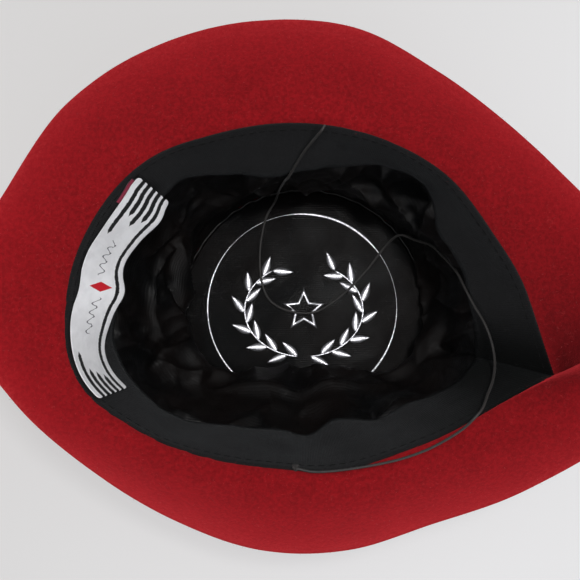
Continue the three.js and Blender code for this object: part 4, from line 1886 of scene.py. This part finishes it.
@dataclass
class Lining:
    """The satin lining: a flat tip with its print, and a slack side wall that falls in folds."""

    form: HatForm
    cord_line: Array
    thickness: float = 0.25
    tip_radius: float = 43
    tip_height: float = 3.1
    tip_rise: float = 1.5
    seam_gap: float = 0.4
    foot_spread: float = 0.2
    ankle_height: float = 3
    below_ribbon: float = 3
    top_depth: float = 20
    columns: int = 720
    rows: int = 100
    side_length: float = 65
    fold_reach: float = 46
    crumple: float = 0.55
    gathers: int = 74
    gather_height: float = 0.45
    wall_clearance: float = 0.6
    cord_clearance: float = 0.9
    seam_points: int = 480
    seam_sides: int = 10
    tip_columns: int = 240
    tip_rows: int = 52
    ring_points: int = 360
    ring_reach: float = 33.6
    ring_shift: tuple[float, float] = (-0.6, 0.9)
    ring_width: float = 0.7
    seam_radius: float = 0.5
    laurel_wide: float = 21
    laurel_high: float = 16.5
    laurel_start: float = -84
    laurel_end: float = 58
    stem_points: int = 60
    stem_half_width: float = 0.28
    leaf_pitch: float = 3.6
    leaf_length: float = 7.6
    leaf_width: float = 2.9
    leaf_splay: float = 0.6
    star_reach: float = 8
    star_inner: float = 0.42
    star_hollow: float = 0.72
    print_lift: float = 0.07
    print_thickness: float = 0.04

    def side_path(self, turn: Array) -> Array:
        """The side wall's section, from the tip's seam to its end behind the ribbon.

        Args:
            turn: The sections' turns.

        Returns:
            Points (out, height), with the path along the first axis.
        """
        form = self.form
        ones = np.ones_like(turn)
        ankle = np.stack([ones * (self.tip_radius + self.seam_gap),
                          ones * (self.tip_height + self.ankle_height)], axis=-1)
        foot = ankle + (self.foot_spread, -self.ankle_height)
        nose = np.stack([around(NOSES, "reach", turn), around(NOSES, "height", turn)], axis=-1)
        deep = around(HEMS, "depth", turn)
        under = form.band_point(turn, deep) + (form.band_thickness, -self.below_ribbon)
        top = form.band_point(turn, deep - form.band_width + self.top_depth)
        wall = form.wall_reach(turn, top[..., 1])
        top[..., 0] = (top[..., 0] + form.band_thickness + wall - 1) / 2
        shelf = lerp(nose, under, np.stack([ones * 0.6, around(NOSES, "climb", turn)], axis=-1))
        stops = [foot, ankle, lerp(ankle, nose, np.array([0.5, 0.35])), nose,
                 shelf, under, top]
        return smooth_way(np.stack(stops), np.linspace(0, 1, self.rows), Knots.UNIFORM)

    def fold_height(self, turn: Array, share: Array) -> Array:
        """How far the cloth stands off its plain form.

        Args:
            turn: The turns, along the second axis.
            share: The shares of the way up, along the first axis.

        Returns:
            Millimetres toward the hollow.
        """
        up = share[:, None] * self.side_length
        ridge = np.zeros((len(share), len(turn)))
        groove = np.zeros_like(ridge)
        for fold in FOLDS:
            swing = turn_from(fold.turn, fold.to_turn)
            run = np.array([math.radians(swing) * self.fold_reach,
                            (fold.to_share - fold.share) * self.side_length])
            length = math.hypot(*run)
            ahead = run / length
            across = np.radians(turn_from(fold.turn, turn))[None] * self.fold_reach
            lift = up - fold.share * self.side_length
            part = (across * ahead[0] + lift * ahead[1]) / length
            bow = fold.bow * 4 * np.clip(part * (1 - part), 0, 1)
            side = lift * ahead[0] - across * ahead[1] - bow
            slope = np.abs(side) / np.where(side > 0, fold.left, fold.right)
            ends = smooth_step(part, -0.2, 0.15) * smooth_step(part, 1.2, 0.85)
            height = fold.height * (np.sqrt(slope ** 2 + 4) - slope) / 2 * np.exp(-slope / 3) * ends
            if fold.height > 0:
                ridge = np.maximum(ridge, height)
            else:
                groove = np.minimum(groove, height)
        return ridge + groove

    def side_surface(self, turn: Array) -> Array:
        """Points of the folded side wall, in metres in the model's frame."""
        form = self.form
        share = np.linspace(0, 1, self.rows)
        base = form.placed(turn, self.side_path(turn)) / MM
        ahead = np.gradient(base, axis=0)
        around_it = np.roll(base, -1, axis=1) - np.roll(base, 1, axis=1)
        normal = np.cross(ahead, around_it)
        normal /= np.linalg.norm(normal, axis=-1, keepdims=True)
        lift = self.fold_height(turn, share)
        creased = creases(base, 24, 41) + 0.5 * creases(base, 12, 42)
        lift += self.crumple * creased
        gather = np.cos(np.radians(self.gathers * turn) + 2.5 * ripples(base, 30, 43))
        lift += self.gather_height * gather * np.exp(-(share[:, None] * 9) ** 1.5)
        lift *= (smooth_step(share, 0.03, 0.16) * smooth_step(share, 0.95, 0.84))[:, None]
        lift = np.minimum(lift, room_to(self.cord_line / MM, base) - self.cord_clearance)
        points = base + normal * lift[..., None]
        points[..., 2] = np.maximum(points[..., 2], self.tip_height)
        plan = points[..., :2] - self.form.axis
        reach = np.linalg.norm(plan, axis=-1)
        limit = form.wall_reach(turn[None, :], points[..., 2]) - self.wall_clearance
        points[..., :2] = self.form.axis + plan * (np.minimum(reach, limit) / reach)[..., None]
        return points * MM

    def build_side(self, finishes: Finishes) -> Piece:
        """Makes the folded side wall."""
        turn = even_turns(self.columns)
        u = np.linspace(0, math.tau * self.tip_radius * MM, self.columns + 1)
        v = np.linspace(0, self.side_length * MM, self.rows)
        uv = uv_map(u, v)
        side = Cloth(self.side_surface(turn), columns_close=True,
                     uv=uv).build("satin_side_lining", flip=True)
        thicken(side, self.thickness * MM)
        settle(side, finishes.satin, Slot.SATIN, "side_lining")
        return side

    def build_seam(self, finishes: Finishes) -> Piece:
        """Makes the rolled seam where the side wall meets the tip."""
        turn = even_turns(self.seam_points)
        wobble = ripples(turn[:, None], 9, 51)
        way = np.stack([*(toward(turn).T * (self.tip_radius + 0.1 + 0.12 * wobble)),
                        self.tip_height + 0.25 + 0.15 * wobble], axis=-1)
        rings = loop_tube(self.form.framed(way), self.seam_radius * MM, self.seam_sides)
        seam = Cloth(rings, rows_close=True, columns_close=True).build("lining_seam")
        return settle(seam, finishes.satin, Slot.SATIN)

    def tip_surface(self, plan: Array) -> Array:
        """The height of the tip lining's face.

        Args:
            plan: Places (x, y) in millimetres round the axis.

        Returns:
            The height at each place, in millimetres.
        """
        reach = np.linalg.norm(plan, axis=-1)
        turn = np.degrees(np.arctan2(plan[..., 1], plan[..., 0]))
        height = self.tip_height + self.tip_rise * (1 - (reach / self.tip_radius) ** 2)
        slack = np.clip(1 - (reach / self.tip_radius) ** 6, 0, 1)
        height += 0.12 * ripples(plan, 19, 31) * slack
        pucker = np.exp(-(self.tip_radius - reach) / 2.2) * slack
        return height + 0.18 * pucker * ripples(turn[..., None], 7, 32)

    def build_tip(self, finishes: Finishes) -> Piece:
        """Makes the tip lining."""
        turn = even_turns(self.tip_columns)
        reach = np.linspace(0, self.tip_radius, self.tip_rows)
        plan = toward(turn)[None] * reach[:, None, None]
        points = np.concatenate([plan, self.tip_surface(plan)[..., None]], axis=-1)
        wide = np.concatenate([plan, plan[:, :1]], axis=1) * MM
        tip = Cloth(self.form.framed(points), columns_close=True,
                    uv=wide).build("satin_tip_lining", flip=True)
        thicken(tip, self.thickness * MM)
        settle(tip, finishes.shaded_tip_satin, Slot.SATIN, "tip_lining")
        return tip

    def printed(self, piece: Piece, finishes: Finishes) -> Piece:
        """Lays a flat piece onto the tip, as pressed foil.

        Args:
            piece: The piece, in plan round the axis.
            finishes: The hat's finishes.

        Returns:
            The piece.
        """
        mesh = piece.data
        places = np.empty(len(mesh.vertices) * 3)
        mesh.vertices.foreach_get("co", places)
        plan = places.reshape(-1, 3)[:, :2] / MM
        height = self.tip_surface(plan) + self.print_lift
        points = self.form.framed(np.concatenate([plan, height[:, None]], axis=1))
        mesh.vertices.foreach_set("co", points.ravel())
        mesh.update()
        mesh.shade_smooth()
        thicken(piece, self.print_thickness * MM)
        return settle(piece, finishes.foil, Slot.FOIL)

    def build_ring(self, finishes: Finishes) -> Piece:
        """Makes the silver ring, pressed on more thickly at some places than at others."""
        turn = even_turns(self.ring_points)
        width = self.ring_width * (0.6 + 0.9 * ripples(turn[:, None], 110, 61))
        reach = self.ring_reach + np.linspace(-0.5, 0.5, 3)[:, None] * np.clip(width, 0.12, 1)
        plan = (toward(turn)[None] * reach[..., None] + self.ring_shift) * MM
        ring = Cloth(np.concatenate([plan, np.zeros_like(plan[..., :1])], axis=-1),
                     columns_close=True).build("foil_ring", flip=True)
        return self.printed(ring, finishes)

    def build_laurel(self, finishes: Finishes) -> list[Piece]:
        """Makes the two laurel branches with their stems."""
        made = []
        growth = leaf_tree()
        for side, name in ((1, "foil_laurel_right"), (-1, "foil_laurel_left")):
            arc = np.radians(np.linspace(self.laurel_start, self.laurel_end, self.stem_points))
            stem = np.stack([side * np.cos(arc) * self.laurel_wide,
                             np.sin(arc) * self.laurel_high, 0 * arc], axis=-1)
            line = bare_line(name + "_line", stem * MM)
            leaves = growth.grow(line, name, Pitch=self.leaf_pitch * MM,
                                 Length=self.leaf_length * MM, Width=self.leaf_width * MM,
                                 Splay=self.leaf_splay, Material=finishes.foil)
            bpy.data.objects.remove(line)
            made.append(self.printed(leaves, finishes))
            across = np.stack([np.gradient(stem[:, 1]), -np.gradient(stem[:, 0]), 0 * arc], axis=-1)
            across /= np.linalg.norm(across, axis=1, keepdims=True)
            across *= self.stem_half_width
            edges = np.stack([stem + across, stem, stem - across]) * MM
            made.append(self.printed(Cloth(edges).build(name + "_stem", flip=True), finishes))
        return made

    def build_star(self, finishes: Finishes) -> Piece:
        """Makes the five-pointed star in the wreath, as an open outline round a smaller star."""
        tips = 10
        turn = 90 + np.arange(tips) * 360 / tips
        rays = []
        inner = self.star_reach * self.star_inner
        for share in (1, self.star_hollow):
            reach = np.where(np.arange(tips) % 2 == 0, self.star_reach, inner) * share
            plan = toward(turn) * reach[:, None]
            rays.append(np.concatenate([plan, np.zeros((tips, 1))], axis=1))
        outline = Cloth(np.stack(rays) * MM, columns_close=True).build("foil_star")
        return self.printed(outline, finishes)

    def build_print(self, finishes: Finishes) -> list[Piece]:
        """Makes the silver ring and the laurel wreath with its star."""
        return [self.build_ring(finishes), *self.build_laurel(finishes), self.build_star(finishes)]

    def build(self, finishes: Finishes) -> list[Piece]:
        """Makes the whole lining."""
        return [self.build_side(finishes), self.build_seam(finishes), self.build_tip(finishes),
                *self.build_print(finishes)]


class LabelWave(NamedTuple):
    """The label at one turn: how deep its upper edge lies, and its tilt off the upright."""

    turn: float
    depth: float
    tilt: float


LABEL_WAVES = (
    LabelWave(144.6, 0.4, 38),
    LabelWave(152, 3.3, 46),
    LabelWave(161, 3.4, 38),
    LabelWave(170, 1.6, 38),
    LabelWave(179, 2.6, 50),
    LabelWave(186, 0.4, 41),
    LabelWave(195, -0.6, 27),
    LabelWave(206.5, -0.6, 27),
)


@dataclass
class Label:
    """The woven label at the back, which waves along the ribbon."""

    form: HatForm
    width: float = 16
    stand: float = 0.9
    sewn_stand: float = 0.1
    free_turn: float = 175
    sewn_turn: float = 187
    thickness: float = 0.35
    lobes: int = 6
    lobe_depth: float = 0.9
    tag_out: float = 1.1
    tag_width: float = 11
    tag_start: float = 0.03
    tag_end: float = 0.17
    tag_length: float = 10
    tag_shift: tuple[float, float, float] = (-0.3, 0.2, -0.5)
    tag_columns: int = 40
    tag_rows: int = 14
    columns: int = 280
    rows: int = 49

    def surface(self, along: Array, across: Array) -> Array:
        """Points of the label's face.

        Args:
            along: Shares of its length.
            across: Millimetres from its upper edge.

        Returns:
            Points in metres, with across along the first axis.
        """
        waves = smooth_way(np.array(LABEL_WAVES, float), along, Knots.CENTRIPETAL)
        turn, depth, tilt = waves.T
        stand = lerp(self.stand, self.sewn_stand, smooth_step(turn, self.free_turn, self.sewn_turn))
        upper = self.form.band_point(turn, depth)
        upper[..., 0] -= stand
        inward = -np.stack([np.sin(np.radians(tilt)), np.cos(np.radians(tilt))], axis=-1)
        return self.form.placed(turn, upper[None] + inward[None] * across[:, None, None])

    def lobed(self, points: Array, across: Array) -> Array:
        """Draws both ends in between the woven stripes, so that each stripe ends in a round lobe.

        Args:
            points: The label's points, with across along the first axis.
            across: Millimetres from its upper edge.

        Returns:
            The moved points.
        """
        arch = np.abs(np.sin(across / self.width * math.pi * self.lobes))
        pull = self.lobe_depth * MM * (1 - arch ** 0.5)
        steps = np.linalg.norm(np.diff(points, axis=1), axis=2)
        run = np.concatenate([np.zeros((len(across), 1)), np.cumsum(steps, axis=1)], axis=1)
        length = run[:, -1:]
        wanted = pull[:, None] + run * (1 - 2 * pull[:, None] / length)
        rows = [np.stack([np.interp(want, way, points[k, :, axis]) for axis in range(3)], axis=-1)
                for k, (want, way) in enumerate(zip(wanted, run))]
        return np.stack(rows)

    def build(self, finishes: Finishes) -> list[Piece]:
        """Makes the label."""
        along = np.linspace(0, 1, self.columns)
        across = np.linspace(0, self.width, self.rows)
        points = self.lobed(self.surface(along, across), across)
        run = lengths_along(points[self.rows // 2])
        run *= LabelFinish().length / run[-1]
        uv = uv_map(run, across * MM)
        label = Cloth(points, uv=uv).build("woven_label")
        thicken(label, self.thickness * MM)
        settle(label, finishes.label, Slot.LABEL, "label")
        return [label, self.build_tag(finishes)]

    def build_tag(self, finishes: Finishes) -> Piece:
        """Makes the crimson tag that shows from under the label's far end."""
        along = np.linspace(self.tag_start, self.tag_end, self.tag_columns)
        across = np.linspace(-self.tag_out, self.tag_width - self.tag_out, self.tag_rows)
        points = self.surface(along, across) + np.array(self.tag_shift) * MM
        u = np.linspace(0, self.tag_length * MM, self.tag_columns)
        v = np.linspace(0, self.tag_width * MM, self.tag_rows)
        uv = uv_map(u, v)
        tag = Cloth(points, uv=uv).build("crimson_tag")
        thicken(tag, self.thickness * MM)
        settle(tag, finishes.tag, Slot.LABEL)
        return tag


# ---------- the studio ----------


class Lamp(NamedTuple):
    """A soft square lamp: its name, place, size, power and colour."""

    name: str
    place: tuple[float, float, float]
    size: float
    watts: float
    colour: tuple[float, float, float]


LAMPS = (
    Lamp("overhead", (0.17, 0.22, 1.6), 0.17, 9.3, (1.0, 0.99, 0.98)),
    Lamp("ceiling", (0.0, -0.05, 1.6), 1.5, 10.5, (1.0, 1.0, 1.0)),
    Lamp("key", (0.9, 1.3, 1.0), 0.8, 5.0, (1.0, 0.99, 0.97)),
    Lamp("left", (-1.4, 0.3, 0.8), 0.9, 3.0, (1.0, 1.0, 1.0)),
    Lamp("near", (0.5, -1.4, 0.8), 0.9, 6.2, (0.97, 0.98, 1.0)),
)


@dataclass
class Studio:
    """The camera, the pale floor and the soft light."""

    form: HatForm
    target: tuple[float, float, float] = (-4.9, 1.7, 74)
    distance: float = 380
    tilt: float = 4.5
    view_width: float = 174
    floor_size: float = 4.0
    floor_colour: Colour = (0.18, 0.18, 0.182, 1.0)
    glow_dim: Colour = (0.485, 0.477, 0.472, 1.0)
    glow_full: Colour = (0.585, 0.585, 0.592, 1.0)
    glow_reach: float = 0.15
    glow_slant: float = 0.6
    sky: Colour = (0.93, 0.95, 1.0, 1.0)
    sky_strength: float = 0.2

    def camera(self) -> None:
        """Looks down into the hat, a little from its -Y side."""
        data = bpy.data.cameras.new("camera")
        data.sensor_width = 36
        data.lens = data.sensor_width * self.distance / self.view_width
        data.clip_start = 0.01
        data.clip_end = 20
        eye = new_object("camera", data)
        lean = math.radians(self.tilt)
        back = Vector((0, -math.sin(lean), math.cos(lean)))
        eye.location = Vector(self.form.framed(self.target)) + back * self.distance * MM
        eye.rotation_mode = "QUATERNION"
        eye.rotation_quaternion = (-back).to_track_quat("-Z", "Y")
        bpy.context.scene.camera = eye

    def floor(self) -> None:
        """A pale table top under the crown's tip that glows, brighter toward +X and -Y: painted
        light, which keeps the shadows faint.
        """
        half = self.floor_size / 2
        mesh = bpy.data.meshes.new("floor")
        mesh.from_pydata([(-half, -half, 0), (half, -half, 0), (half, half, 0), (-half, half, 0)],
                         [], [(0, 1, 2, 3)])
        floor = new_object("floor", mesh)
        material, maker, shader = new_material("pale_table")
        vector = maker.add("ShaderNodeTexCoord").outputs["Object"]
        cloudy = maker.noise(vector, 9.0, 4.0)
        darker = tuple(0.96 * c for c in self.floor_colour[:3]) + (1.0,)
        maker.feed(shader.inputs["Base Color"], maker.mix(cloudy, darker, self.floor_colour))
        shader.inputs["Roughness"].default_value = 0.8
        # Painted light: the floor glows, brighter on its +X, -Y side, and fills the shadows.
        place = maker.add("ShaderNodeSeparateXYZ", {0: vector})
        across = maker.math("SUBTRACT", place.outputs["X"],
                            maker.times(place.outputs["Y"], self.glow_slant))
        share = maker.ramp(across, -self.glow_reach, self.glow_reach, 0, 1)
        maker.feed(shader.inputs["Emission Color"], maker.mix(share, self.glow_dim, self.glow_full))
        shader.inputs["Emission Strength"].default_value = 1.0
        mesh.materials.append(material)

    def light(self) -> None:
        """Soft light from above and from both sides, and an even sky."""
        for lamp in LAMPS:
            data = bpy.data.lights.new(lamp.name, "AREA")
            data.size = lamp.size
            data.energy = lamp.watts
            data.color = lamp.colour
            holder = new_object(lamp.name, data)
            holder.location = lamp.place
            aim = Vector((0, 0, 0.05)) - holder.location
            holder.rotation_mode = "QUATERNION"
            holder.rotation_quaternion = aim.to_track_quat("-Z", "Y")
        world = bpy.data.worlds.new("soft_sky")
        world.use_nodes = True
        background = world.node_tree.nodes["Background"]
        background.inputs["Color"].default_value = self.sky
        background.inputs["Strength"].default_value = self.sky_strength
        bpy.context.scene.world = world
        bpy.context.scene.view_settings.view_transform = "Standard"


def main() -> None:
    """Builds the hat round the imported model."""
    logging.basicConfig(level=logging.INFO, format="%(name)s: %(message)s")
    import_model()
    low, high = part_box("tip_lining")
    middle = (low + high) / 2 / MM
    form = HatForm(axis=(middle.x, middle.y))
    studio = Studio(form)
    studio.camera()
    finishes = Finishes()
    cord = ElasticCord(form)
    cord.build(finishes)
    FeltHat(form).build(finishes)
    Sweatband(form).build(finishes)
    Lining(form, cord.line()).build(finishes)
    Label(form).build(finishes)
    studio.floor()
    studio.light()


if __name__ == "__main__":
    main()
